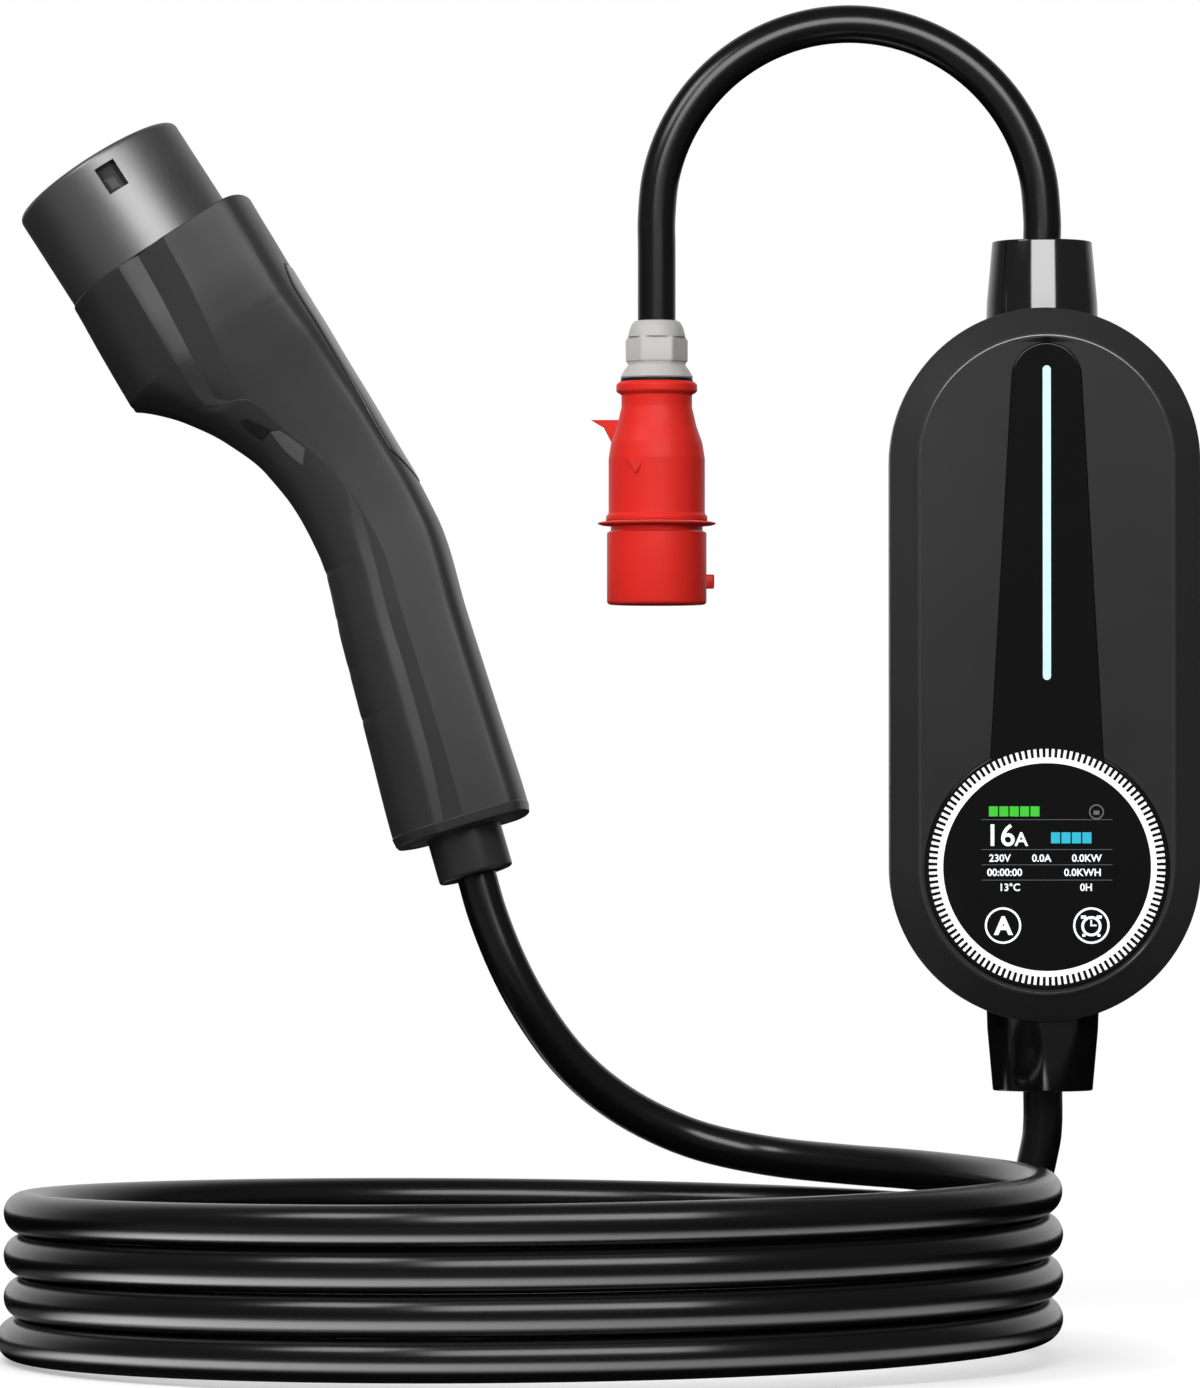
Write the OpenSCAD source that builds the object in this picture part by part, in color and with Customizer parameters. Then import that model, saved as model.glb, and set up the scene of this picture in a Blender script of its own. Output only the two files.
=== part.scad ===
// Portable EV charger: a wall-hung control box with a touch dial, a vehicle
// connector on a coiled lead, and an industrial plug on a short supply lead.
// The origin is on the back of the box, +Z is up and the face looks along -Y.

/* [Control box] */
// Width of the control box across its round ends
box_w = 96; // [92:1:104]
// Height of the control box
box_h = 221; // [214:1:236]
// Depth of the control box from its back to its face
box_d = 52; // [50:1:60]
// Depth of the back shell
back_d = 30; // [28:1:32]
// Wall of both box shells
box_wall = 3; // [2.6:0.1:3.4]
// Width of the slope round the face
bevel_w = 9; // [7:0.5:9.5]
// Depth of the slope round the face
bevel_d = 8; // [6:0.5:9]
// Thickness of the face
face_t = 4; // [3.6:0.1:4.6]
// How far the back shell narrows towards its back
back_draft = 2; // [0:0.5:2.5]
// Chamfer round the back
back_edge = 4; // [2:0.5:4.5]
// Clearance between pieces that fit together
fit = 0.15; // [0.1:0.05:0.25]

/* [Hanging slots] */
// Width of each hanging slot
slot_w = 5.2; // [4:0.2:6.4]
// Length of each hanging slot
slot_len = 9; // [8:0.5:12]
// Distance between the two hanging slots
slot_gap = 150; // [140:2:156]
// Depth of the closed pocket behind each slot
slot_depth = 7; // [6:0.5:9]

/* [Face panel] */
// Thickness of the black panel
panel_t = 2; // [1.6:0.1:2.4]
// Radius of the panel's round top
panel_top_r = 10.9; // [9:0.1:13]
// Width of the panel where it runs into the dial
panel_foot_w = 38.8; // [30:0.2:46]
// Distance from the top of the box to the top of the panel
panel_drop = 11.2; // [10:0.2:14]
// Radius of the dial
dial_r = 37.8; // [37.2:0.1:38.4]
// Inner radius of the white band
band_in = 31.7; // [30:0.1:32.4]
// Outer radius of the white band
band_out = 34; // [33.2:0.1:34.6]
// Outer radius of the ticks
tick_out = 36.5; // [35.6:0.1:36.9]
// Number of ticks
tick_count = 120; // [60:12:144]
// Thickness of the band and its ticks
band_t = 0.8; // [0.6:0.1:1]
// Width of the light bar
bar_w = 2.5; // [2:0.1:4]
// Length of the light bar
bar_len = 97; // [80:1:99]
// Distance from the top of the panel to the light bar
bar_drop = 7.2; // [6:0.2:9]
// Width of the screen
lcd_w = 40; // [36:0.5:44]
// Height of the screen
lcd_h = 27.5; // [24:0.5:30]
// Height of the screen's centre above the dial's centre
lcd_up = 5.9; // [5:0.1:7]
// Rim of the screen behind the panel
lcd_rim = 2.6; // [2:0.1:3]
// Distance of each touch key from the dial's centre line
key_x = 14; // [12:0.5:16]
// Distance of the touch keys below the dial's centre
key_drop = 18.2; // [17.6:0.2:20]
// Radius of each touch key
key_r = 4.5; // [3.5:0.1:5.4]

/* [Electronics] */
// Thickness of both circuit boards
board_t = 1.6; // [1.2:0.1:2]
// Height of the posts under the face board
face_post = 2; // [1.6:0.1:2.4]
// Height of the posts under the power board
power_post = 5; // [4:0.5:7]
// Width of the power board
power_w = 64; // [60:1:68]
// Height of the power board
power_h = 122; // [118:1:126]
// Radius of the case screws
screw_r = 1.5; // [1.3:0.1:1.7]

/* [Cable glands] */
// Length of each gland outside the box
gland_len = 21.5; // [18:0.5:26]
// Radius of each gland at its cable end
gland_end_r = 15.5; // [13:0.1:16]
// Radius of each gland at the box
gland_base_r = 17.4; // [16.4:0.1:18.4]
// Radius of each gland's neck in the box wall
gland_neck_r = 12.5; // [11:0.1:13]
// Distance of the gland axis from the back of the box
gland_y = 26; // [25:0.5:27]

/* [Cables] */
// Diameter of the charging cable
lead_d = 12.2; // [11:0.1:12.3]
// Diameter of the supply cable
supply_d = 11.8; // [10.6:0.1:12.4]
// Depth that each cable goes into its gland
cable_socket = 8; // [6:0.5:10]
// Radius of the hole for the bare cores
core_r = 4; // [3:0.1:4.6]

/* [Vehicle connector] */
// Radius of the connector nose
nose_r = 28.2; // [27:0.1:28.6]
// Length of the connector nose
nose_len = 33.5; // [30:0.5:38]
// Wall of the connector nose
nose_wall = 3.2; // [2.8:0.1:3.6]
// Radius of the contact insert
insert_r = 20.6; // [20:0.1:20.9]
// Depth of the insert's face inside the nose
insert_drop = 3; // [2:0.5:6]
// Radius of a power contact's hole
power_r = 3.7; // [3.4:0.1:4]
// Radius of a signal contact's hole
signal_r = 2.4; // [2:0.1:2.8]
// Depth of the connector body from thumb to finger side
body_depth = 64; // [63:0.5:68]
// Width of the connector body
body_width = 60; // [59:0.5:64]
// Depth of the grip at its thinnest
grip_depth = 38; // [36:0.5:41]
// Width of the grip
grip_width = 36; // [34:0.5:40]
// Depth of the grip at its end
grip_end_depth = 43; // [41:0.5:46]
// Angle between the grip and the nose
grip_bend = 16.5; // [14:0.5:19]
// Wall of the connector shells
gun_wall = 2.6; // [2.2:0.1:3]
// Thickness of the front ring round the nose
front_ring_t = 3; // [2.4:0.2:4]
// Length of the connector body behind the nose
body_len = 196.5; // [190:0.5:206]
// Thickness of the inlaid thumb cover
thumb_t = 1.2; // [0.8:0.1:1.6]
// Thickness of the cap at the grip's end
end_cap_t = 4.5; // [3.5:0.5:6]
// Radius of the strain relief collar
relief_r = 11.6; // [10:0.1:13]
// Length of the strain relief collar outside the grip
relief_len = 14; // [12:0.5:16]

/* [Plug] */
// Radius of the plug body
plug_r = 15; // [14:0.1:15.2]
// Radius of the plug's neck
plug_neck_r = 11; // [10.6:0.1:11.6]
// Radius of the plug's sleeve
sleeve_r = 15.5; // [15.3:0.1:16]
// Length of the plug's sleeve
sleeve_len = 26; // [24:0.5:30]
// Radius of the flange between body and sleeve
flange_r = 19; // [17.6:0.2:20]
// Thickness of the flange
flange_t = 1.6; // [1.2:0.1:2]
// Wall of the plug's body and sleeve
plug_wall = 2.2; // [2:0.1:2.4]
// Radius of the circle of pins
pin_circle_r = 8; // [7.6:0.1:8.4]
// Radius of a phase pin
pin_r = 1.7; // [1.4:0.1:1.9]
// Radius of the earth pin
earth_r = 2.2; // [2:0.1:2.4]

/* [Hidden] */
$fn = 72;
overlap = 1;
// Kept between faces that meet
seat_gap = 0.02;

// Control box, drawn flat: x across, y up, z from the back to the face
box_r = box_w / 2;
end_y = (box_h - box_w) / 2;
half_h = box_h / 2;
face_in = box_d - face_t;
panel_z = box_d - panel_t;
panel_top_y = half_h - panel_drop - panel_top_r;
bar_y = half_h - panel_drop - bar_drop - bar_len / 2;
dial_y = -end_y;
top_steps = 24;
dial_steps = 96;
lcd_y = dial_y + lcd_up;
key_y = dial_y - key_drop;
face_board_z = face_in - face_post - board_t;
power_z = box_wall + power_post;
part_z = power_z + board_t;
bar_flange = 1.4;
gasket_w = 1.2;
gasket_h = 1.2;

// Case screws sit in posts beside the wall
post_r = 3.6;
post_in = box_r - box_wall - back_draft / 2 - post_r + 0.4;
head_r = 2.9;
head_t = 2.6;
screw_tip = 9;
post_places = [for (side = [-1, 1], row = [-1, 0, 1])
    row == 0 ? [side * post_in, 0] : [side * post_in * cos(45), row * (end_y + post_in * sin(45))]];

// Board screws
board_screw_r = 1.1;
board_head_r = 2;
board_head_t = 1.4;
board_post_r = 2.8;
board_post_h = 5;
face_board_w = 58;
face_strip_w = 22;
face_board_top = -3;
face_board_edge = 1;
board_screw_in = 4;
face_screw_rows = [dial_y - 11, face_board_top - 5];
face_places = [for (side = [-1, 1], y = face_screw_rows) [side * (face_board_w / 2 - board_screw_in), y]];
power_places = [for (side = [-1, 1], row = [-1, 1])
    [side * (power_w / 2 - board_screw_in), row * (power_h / 2 - board_screw_in)]];

// Cable glands, with their tail and flange inside the box
gland_seat = 8;
gland_tail = 6;
gland_flange = 2.2;
gland_flange_t = 3;

// Vehicle connector, drawn flat: x from the nose to the grip, y to the thumb, z to the viewer
front_x = nose_len + front_ring_t;
grip_from = 106.5;
grip_from_y = 12.2;
grip_end_x = body_len - front_ring_t;
grip_half_x = (2 * grip_from + grip_end_x) / 3;
grip_low_x = (grip_from + 2 * grip_end_x) / 3;
gun_end = [front_x + grip_end_x, grip_mid(grip_end_x)];
exit_run = end_cap_t + relief_len;
gun_exit_flat = gun_end + exit_run * [cos(grip_bend), -sin(grip_bend)];
gun_exit = [-175.5, -64, -65];
gun_lean = 57.2;
gun_tip = 5;

// Stations of the connector body: distance behind the front ring, middle, turn, depth, width
gun_stations = [
    [0, 3.2, 0, body_depth, body_width],
    [14, 2.6, 0, body_depth + 0.4, body_width],
    [30, 2, 0, body_depth + 0.6, body_width - 2],
    [43.5, 6.8, 0, body_depth - 9.6, body_width - 7],
    [56.5, 10.8, 1, body_depth - 18.6, grip_width + 11],
    [72.5, 13.2, 4, grip_depth + 1.8, grip_width + 6],
    [88.5, 13.6, 9, grip_depth, grip_width + 2.5],
    [grip_from, grip_from_y, grip_bend - 2, grip_depth + 0.4, grip_width + 0.5],
    [grip_half_x, grip_mid(grip_half_x), grip_bend, grip_depth + 1.8, grip_width],
    [grip_low_x, grip_mid(grip_low_x), grip_bend, grip_end_depth - 1.6, grip_width + 0.5],
    [grip_end_x, grip_mid(grip_end_x), grip_bend, grip_end_depth, grip_width + 1]
];
gun_last = len(gun_stations) - 1;
gun_rings = 28;

// Half outlines of a section as shares of its depth and half width, finger side to thumb side
lower_half = [[-0.5, 0], [-0.5, 0.3], [-0.47, 0.52], [-0.38, 0.8], [-0.215, 0.973]];
upper_half = [[-0.215, 0.973], [-0.1, 0.945], [0.04, 1], [0.15, 1], [0.29, 0.975],
    [0.36, 0.9], [0.42, 0.72], [0.47, 0.48], [0.5, 0.22], [0.5, 0]];
lower_last = len(lower_half) - 1;
upper_last = len(upper_half) - 1;
lower_path = concat([for (i = [lower_last:-1:0]) lower_half[i]],
    [for (i = [1:lower_last]) mirrored(lower_half[i])]);
upper_path = concat(upper_half, [for (i = [upper_last - 1:-1:0]) mirrored(upper_half[i])]);
thumb_from = 6;
thumb_to = len(upper_path) - 1 - thumb_from;
thumb_start = 22;
thumb_end = 96;
thumb_gap = 0.2;
thumb_side_gap = 0.02;

// Connector inside
nose_step = 0.4;
nose_floor = 3;
nose_tail_r = 23.4;
nose_tail = 18;
lock_len = 9.5;
lock_w = 6.6;
lock_x = 9.1;
lock_y = 3.2;
lock_depth = 2.2;
insert_flange = 1.8;
insert_flange_t = 3;
insert_back = nose_len + 4;
insert_tail = 8;
contact_wall = 0.9;
contact_drop = 4;
contact_tail = 5;
power_contacts = [[0, 0], [13, 0], [-13, 0], [7, -12.5], [-7, -12.5]];
signal_contacts = [[5.5, 11.5], [-5.5, 11.5]];
gun_screw_stations = [nose_tail + 7, 118, 178];
gun_screw_r = 1.4;
gun_screw_len = 12;
gun_screw_sink = 0.4;
gun_screw_head_r = 2.6;
gun_screw_head_t = 0.6;
gun_post_r = 3.2;
gun_post_gap = 1;
cap_edge = 0.9;
cap_slope = 3.2;
relief_flange = 2.4;
relief_flange_t = 3;
clamp_t = 6;
clamp_w = 20;
clamp_len = 14;

// Plug, drawn with its axis along z and its nut on top
plug_x = -120;
nut_top = 107.5;
nut_collar_r = supply_d / 2 + fit + 2.4;
nut_hex_r = 9.8;
nut_flare_r = 11.4;
nut_waist_r = 8.8;
nut_h = 17;
nut_collar_h = 5;
nut_flare_h = 3;
seal_h = 2;
seal_r = 11.8;
plug_top = nut_top - nut_h - seal_h;
plug_len = 43.5;
plug_foot = plug_top - plug_len;
bead_r = 12.6;
bead_h = 3.2;
bead_edge = 1;
roof_t = 5;
neck_drop = 8;
neck_h = 6;
neck_flare = 1.4;
shoulder_drop = 24;
shoulder_h = 5;
shoulder_in = 0.8;
fin_reach = 20.4;
fin_t = 3;
fin_drop = 12;
fin_h = 8;
fin_root = 2.6;
fin_tip_w = 4;
fin_tip_h = 2.4;
arrow_x = -6.6;
arrow_w = 5.4;
arrow_h = 4.6;
arrow_drop = 24.6;
arrow_out = 14.2;
key_reach = 2.4;
key_w = 4.4;
key_h = 4.4;
key_up = 5;
carrier_h = 10;
pin_len = 15;
pin_tail = 4;
sleeve_edge = 1;
groove_h = 2.4;
groove_depth = 0.6;

// Routes of the cables
coil_x = -157;
coil_y = -183;
coil_r = 148;
coil_pitch = 12.4;
coil_turns = 4;
coil_top_z = -158.6;
coil_core = 6;
coil_tilt = asin(coil_pitch / 4 / coil_r);
cable_sides = 12;
supply_route = [[0, 140], [-4.6, 163], [-17.6, 182.4], [-37, 195.4], [-60, 200], [-83, 195.4],
    [-102.4, 182.4], [-115.4, 163], [-120, 140], [-120, 128], [-120, 116]];
box_route = [[0, -26, -142], [-1, -26, -150], [-5, -26, -164], [-15.5, -26, -180.5], [-32, -26, -191.5],
    [-52, -26, -195.8], [-78, -28, -195.8], [-104, -31, -195.8], [-130, -34, -195.8]];
gun_route = [[-172, -65, -77], [-166, -66, -92], [-158.5, -65.5, -106], [-148.5, -63, -120],
    [-137, -59.5, -131], [-123, -55.5, -140], [-106, -52.5, -147], [-85, -56, -151.5], [-63, -70.5, -153.6],
    [-44, -88, -154.5], [-29, -109, -155], [-17.5, -133, -155.3], [-11, -158, -155.4]];

function mirrored(p) = [p[0], -p[1]];
function grip_mid(x) = grip_from_y - (x - grip_from) * tan(grip_bend);
function unit(v) = v / norm(v);
function drawn_in(path, i, way) = path[i] + thumb_side_gap * (path[i + way] - path[i]);

// Slope of column k at station i, kept flat at turning points so that no curve overshoots
function secant(i, k) = (gun_stations[i + 1][k] - gun_stations[i][k])
    / (gun_stations[i + 1][0] - gun_stations[i][0]);
function slope(i, k) = i == 0 ? secant(0, k) : i == gun_last ? secant(gun_last - 1, k)
    : let(a = secant(i - 1, k), b = secant(i, k)) a * b <= 0 ? 0 : 2 * a * b / (a + b);
function station_before(x) = max([for (i = [0:gun_last - 1]) if (gun_stations[i][0] <= x || i == 0) i]);
function station_value(x, k) = let(
    i = station_before(x),
    span = gun_stations[i + 1][0] - gun_stations[i][0],
    f = (x - gun_stations[i][0]) / span,
    g = 1 - f)
    gun_stations[i][k] * g * g * (1 + 2 * f) + gun_stations[i + 1][k] * f * f * (3 - 2 * f)
    + span * f * g * (slope(i, k) * g - slope(i + 1, k) * f);

// A point of the section at distance x behind the front ring, moved in by inset from the surface
function section_point(x, p, inset) = let(
    turn = station_value(x, 2),
    deep = (station_value(x, 3) - 2 * inset) * p[0],
    wide = (station_value(x, 4) / 2 - inset) * p[1])
    [front_x + x + deep * sin(turn), station_value(x, 1) + deep * cos(turn), wide];
function ring(x, path, inset) = [for (p = path) section_point(x, p, inset)];
function grip_axis_point(x, up) = section_point(x, [up / station_value(x, 3), 0], 0);

// Turns a direction of the flat connector to the one it has in place
function gun_turned(v) = let(
    a = [v[0] * cos(gun_tip) - v[2] * sin(gun_tip), v[1], v[0] * sin(gun_tip) + v[2] * cos(gun_tip)],
    b = [a[0] * cos(gun_lean) + a[1] * sin(gun_lean), a[1] * cos(gun_lean) - a[0] * sin(gun_lean), a[2]])
    [b[0], -b[2], b[1]];
gun_axis = gun_turned([cos(grip_bend), -sin(grip_bend), 0]);

// Sections of a cable: one circle square to the route at each point
function along(route, i, first, last) = i == 0 ? first : i == len(route) - 1 ? last
    : unit(unit(route[i + 1] - route[i]) + unit(route[i] - route[i - 1]));
function cable_circle(at, way, side, r) = let(a = unit(side - way * (side * way)), b = cross(way, a))
    [for (k = [0:cable_sides - 1]) at + r * (a * cos(360 * k / cable_sides) + b * sin(360 * k / cable_sides))];

// Joins equal rings of points, each going round clockwise seen from the first ring's outer side
function skin(rows, n) = [for (r = [0:rows - 2], k = [0:n - 1]) each
    [[r * n + k, r * n + (k + 1) % n, (r + 1) * n + k],
     [r * n + (k + 1) % n, (r + 1) * n + (k + 1) % n, (r + 1) * n + k]]];

module cable(route, first, last, side, d) {
    points = [for (i = [0:len(route) - 1])
        each cable_circle(route[i], along(route, i, first, last), side, d / 2)];
    rows = len(route);
    ends = [[for (k = [cable_sides - 1:-1:0]) k],
        [for (k = [0:cable_sides - 1]) (rows - 1) * cable_sides + k]];
    polyhedron(points, concat(ends, skin(rows, cable_sides)));
}

// A moulded wall: an outer and an inner surface carried along the stations, open between its two edges
module moulded_wall(stations, path, inset, wall) {
    n = len(path);
    loop = 2 * n;
    rows = len(stations);
    points = [for (i = [0:rows - 1]) each concat(
        ring(stations[i], path, inset),
        [for (k = [n - 1:-1:0]) section_point(stations[i], path[k], inset + wall)])];
    last = (rows - 1) * loop;
    front = [for (k = [0:n - 2]) [k, loop - 1 - k, loop - 2 - k, k + 1]];
    back = [for (k = [0:n - 2]) [last + k, last + k + 1, last + loop - 2 - k, last + loop - 1 - k]];
    polyhedron(points, concat(front, back, skin(rows, loop)));
}

// A profile (distance from the middle line, height) carried round the box's outline
module oblong() {
    for (turn = [0, 180])
        rotate([0, 0, turn]) {
            translate([0, end_y, 0]) rotate_extrude(angle = 180) children();
            translate([0, end_y, 0]) rotate([90, 0, 0]) linear_extrude(2 * end_y) children();
        }
}

module box_place() rotate([90, 0, 0]) children();
module gun_place() {
    translate(gun_exit) rotate([90, 0, 0]) rotate([0, 0, -gun_lean]) rotate([0, -gun_tip, 0])
        translate([-gun_exit_flat[0], -gun_exit_flat[1], 0]) children();
}
module nose_axis(x) translate([x, 0, 0]) rotate([0, 90, 0]) children();
module grip_axis(run) {
    translate([gun_end[0], gun_end[1], 0]) rotate([0, 0, -grip_bend])
        translate([run, 0, 0]) rotate([0, 90, 0]) children();
}
module plug_place(z) translate([plug_x, -gland_y, z]) children();

module tube_between(r_out, r_in, z_low, z_high) {
    difference() {
        translate([0, 0, z_low]) cylinder(h = z_high - z_low, r = r_out);
        translate([0, 0, z_low - overlap]) cylinder(h = z_high - z_low + 2 * overlap, r = r_in);
    }
}

module gland_hole(grow) {
    for (turn = [0, 180])
        translate([0, 0, gland_y]) rotate([-90, 0, turn])
            translate([0, 0, end_y]) cylinder(h = box_r + overlap, r = gland_neck_r + grow);
}

module slot_shape(grow) {
    for (end = [-1, 1]) translate([0, end * (slot_len - slot_w) / 2]) circle(r = slot_w / 2 + grow);
    square([slot_w + 2 * grow, slot_len - slot_w], center = true);
}

module box_back_shell() {
    foot_r = box_r - back_draft - back_edge;
    color([0.1, 0.1, 0.11]) box_place() difference() {
        union() {
            difference() {
                oblong() polygon([[0, 0], [foot_r, 0], [foot_r + back_edge, back_edge], [box_r, back_d],
                    [box_r - box_wall, back_d], [foot_r + back_edge - box_wall, back_edge + box_wall / 2],
                    [foot_r - box_wall / 2, box_wall], [0, box_wall]]);
                oblong() translate([box_r - box_wall / 2 - gasket_w / 2, back_d - gasket_h])
                    square([gasket_w, gasket_h + overlap]);
            }
            for (p = post_places) translate([p[0], p[1], box_wall / 2])
                cylinder(h = back_d - box_wall / 2, r = post_r);
            for (p = power_places) translate([p[0], p[1], box_wall / 2])
                cylinder(h = power_post + box_wall / 2, r = board_post_r);
            for (end = [-1, 1]) translate([0, end * slot_gap / 2, box_wall / 2])
                linear_extrude(slot_depth) slot_shape(box_wall / 2);
        }
        for (p = post_places) translate([p[0], p[1], -overlap]) {
            cylinder(h = back_d + 2 * overlap, r = screw_r + fit);
            cylinder(h = head_t + overlap + fit, r = head_r + fit);
        }
        for (p = power_places) translate([p[0], p[1], power_z - board_post_h + overlap])
            cylinder(h = board_post_h, r = board_screw_r + fit);
        for (end = [-1, 1]) translate([0, end * slot_gap / 2, -overlap])
            linear_extrude(slot_depth + overlap) slot_shape(0);
        gland_hole(fit);
    }
}

// Keyhole outline: a round top and the dial, joined by the line that touches the top and the panel's foot
module panel_shape(grow) {
    lean = asin((panel_foot_w / 2 - panel_top_r) / (panel_top_y - dial_y));
    top = panel_top_r + grow;
    dial = dial_r + grow;
    meet = lean + acos((panel_foot_w / 2 + grow) / dial);
    polygon(concat(
        [for (i = [0:top_steps]) let(a = lean + (180 - 2 * lean) * i / top_steps)
            [top * cos(a), panel_top_y + top * sin(a)]],
        [for (i = [0:dial_steps]) let(a = 180 - meet + (180 + 2 * meet) * i / dial_steps)
            [dial * cos(a), dial_y + dial * sin(a)]]));
}

module bar_shape(w, len) {
    translate([0, bar_y]) {
        square([w, len - w], center = true);
        for (end = [-1, 1]) translate([0, end * (len - w) / 2]) circle(r = w / 2);
    }
}

module box_front_cover() {
    color([0.2, 0.2, 0.21]) box_place() difference() {
        union() {
            oblong() polygon([[box_r, back_d], [box_r, box_d - bevel_d], [box_r - bevel_w, box_d], [0, box_d],
                [0, face_in], [box_r - bevel_w - box_wall / 3, face_in],
                [box_r - box_wall, box_d - bevel_d - box_wall / 3], [box_r - box_wall, back_d]]);
            for (p = post_places) translate([p[0], p[1], back_d])
                cylinder(h = box_d - bevel_d - back_d + face_t / 4, r = post_r);
            for (p = face_places) translate([p[0], p[1], face_in - face_post])
                cylinder(h = face_post + face_t / 4, r = board_post_r);
        }
        translate([0, 0, panel_z]) linear_extrude(panel_t + overlap) panel_shape(fit);
        translate([0, lcd_y, face_in + face_t / 2]) cube([lcd_w + 2 * lcd_rim + 2 * fit,
            lcd_h + 2 * lcd_rim + 2 * fit, 2 * face_t], center = true);
        translate([0, 0, face_in - overlap]) linear_extrude(face_t)
            bar_shape(bar_w + 2 * fit, bar_len + 2 * fit);
        for (side = [-1, 1]) translate([side * key_x, key_y, face_in - overlap])
            cylinder(h = face_t, r = key_r + fit);
        for (p = post_places) translate([p[0], p[1], back_d - overlap])
            cylinder(h = screw_tip + overlap + fit, r = screw_r + fit);
        for (p = face_places) translate([p[0], p[1], face_in - face_post - overlap])
            cylinder(h = face_post + overlap + face_t / 4, r = board_screw_r + fit);
        gland_hole(fit);
    }
}

module box_gasket() {
    color([0.06, 0.06, 0.06]) box_place() difference() {
        oblong() translate([box_r - box_wall / 2 - gasket_w / 2 + fit / 2, back_d - gasket_h])
            square([gasket_w - fit, gasket_h]);
        gland_hole(fit);
        for (p = post_places) translate([p[0], p[1], 0]) cylinder(h = box_d, r = post_r + fit);
    }
}

module box_screws() {
    color([0.7, 0.7, 0.72]) box_place() for (p = post_places) translate([p[0], p[1], 0]) {
        cylinder(h = head_t, r = head_r);
        cylinder(h = back_d + screw_tip, r = screw_r);
    }
}

module display_panel() {
    color([0.05, 0.05, 0.05]) box_place() difference() {
        translate([0, 0, panel_z]) linear_extrude(panel_t) panel_shape(0);
        translate([0, lcd_y, box_d]) cube([lcd_w + 2 * fit, lcd_h + 2 * fit, 4 * panel_t], center = true);
        translate([0, 0, panel_z - overlap]) linear_extrude(panel_t + 2 * overlap)
            bar_shape(bar_w + 2 * fit, bar_len + 2 * fit);
        translate([0, dial_y, 0])
            tube_between(tick_out + fit, band_in - fit, box_d - band_t, box_d + overlap);
    }
}

// Band and ticks as one outline: each tick takes half of its pitch
module dial_ring() {
    color([0.95, 0.95, 0.95]) box_place() translate([0, dial_y, box_d - band_t]) linear_extrude(band_t)
        difference() {
            polygon([for (i = [0:tick_count - 1], c = [[-1, 0], [-1, 1], [1, 1], [1, 0]])
                let(a = 360 / tick_count * (i + c[0] / 4), r = c[1] == 1 ? tick_out : band_out)
                [r * sin(a), r * cos(a)]]);
            circle(r = band_in);
        }
}

module light_bar() {
    color([0.75, 0.95, 0.97]) box_place() {
        translate([0, 0, face_in - overlap]) linear_extrude(face_t + overlap) bar_shape(bar_w, bar_len);
        translate([0, 0, face_in - face_post]) linear_extrude(face_post)
            bar_shape(bar_w + 2 * bar_flange, bar_len + 2 * bar_flange);
    }
}

module screen() {
    color([0.08, 0.1, 0.12]) box_place() translate([0, lcd_y, 0]) {
        translate([-lcd_w / 2, -lcd_h / 2, panel_z - overlap]) cube([lcd_w, lcd_h, panel_t + overlap]);
        translate([-lcd_w / 2 - lcd_rim, -lcd_h / 2 - lcd_rim, face_in - face_post])
            cube([lcd_w + 2 * lcd_rim, lcd_h + 2 * lcd_rim, panel_z - face_in + face_post]);
    }
}

module touch_pads() {
    color([0.75, 0.6, 0.35]) box_place() for (side = [-1, 1])
        translate([side * key_x, key_y, face_in - face_post])
            cylinder(h = panel_z - face_in + face_post, r = key_r);
}

module face_board() {
    low = key_y - key_r - face_board_edge;
    high = bar_y + bar_len / 2 + bar_flange + face_board_edge;
    color([0.05, 0.3, 0.15]) box_place() difference() {
        translate([0, 0, face_board_z]) linear_extrude(board_t) {
            difference() {
                translate([-face_board_w / 2, low]) square([face_board_w, face_board_top - low]);
                for (side = [-1, 1]) translate([side * face_board_w / 2, low])
                    rotate(45) square(face_board_w / 2, center = true);
            }
            translate([-face_strip_w / 2, low]) square([face_strip_w, high - low]);
        }
        for (p = face_places) translate([p[0], p[1], 0]) cylinder(h = box_d, r = board_screw_r + fit);
    }
}

// Two sets: four under the face board, four on top of the power board
module board_screws() {
    color([0.75, 0.75, 0.77]) box_place() {
        for (p = face_places) translate([p[0], p[1], face_board_z]) {
            translate([0, 0, -board_head_t]) cylinder(h = board_head_t, r = board_head_r);
            cylinder(h = board_t + face_post, r = board_screw_r);
        }
        for (p = power_places) translate([p[0], p[1], part_z]) {
            cylinder(h = board_head_t, r = board_head_r);
            translate([0, 0, -board_t - board_post_h / 2])
                cylinder(h = board_t + board_post_h / 2, r = board_screw_r);
        }
    }
}

module power_board() {
    color([0.05, 0.35, 0.2]) box_place() difference() {
        translate([-power_w / 2, -power_h / 2, power_z]) cube([power_w, power_h, board_t]);
        for (p = power_places) translate([p[0], p[1], power_z - overlap])
            cylinder(h = board_t + 2 * overlap, r = board_screw_r + fit);
    }
}

// Components on the power board: centre across and up, then size
relay_at = [9, 22];
relay_size = [13, 29, 25];
sensor_at = [14, -8];
sensor_r = 11.5;
sensor_rim = 4.5;
sensor_t = 9;
module_at = [14, -30];
module_size = [24, 20, 18];
capacitor_x = -15;
capacitor_rows = [-14, -30];
capacitor_r = 6.3;
capacitor_h = 22;
terminal_in = 15;
terminal_size = [40, 11, 14];
way_count = 5;
way_r = 2.4;
module on_board(x, y) box_place() translate([x, y, part_z]) children();

module relays() {
    color([0.15, 0.25, 0.5]) for (side = [-1, 1]) on_board(side * relay_at[0], relay_at[1])
        translate([-relay_size[0] / 2, -relay_size[1] / 2, 0]) cube(relay_size);
}

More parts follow.
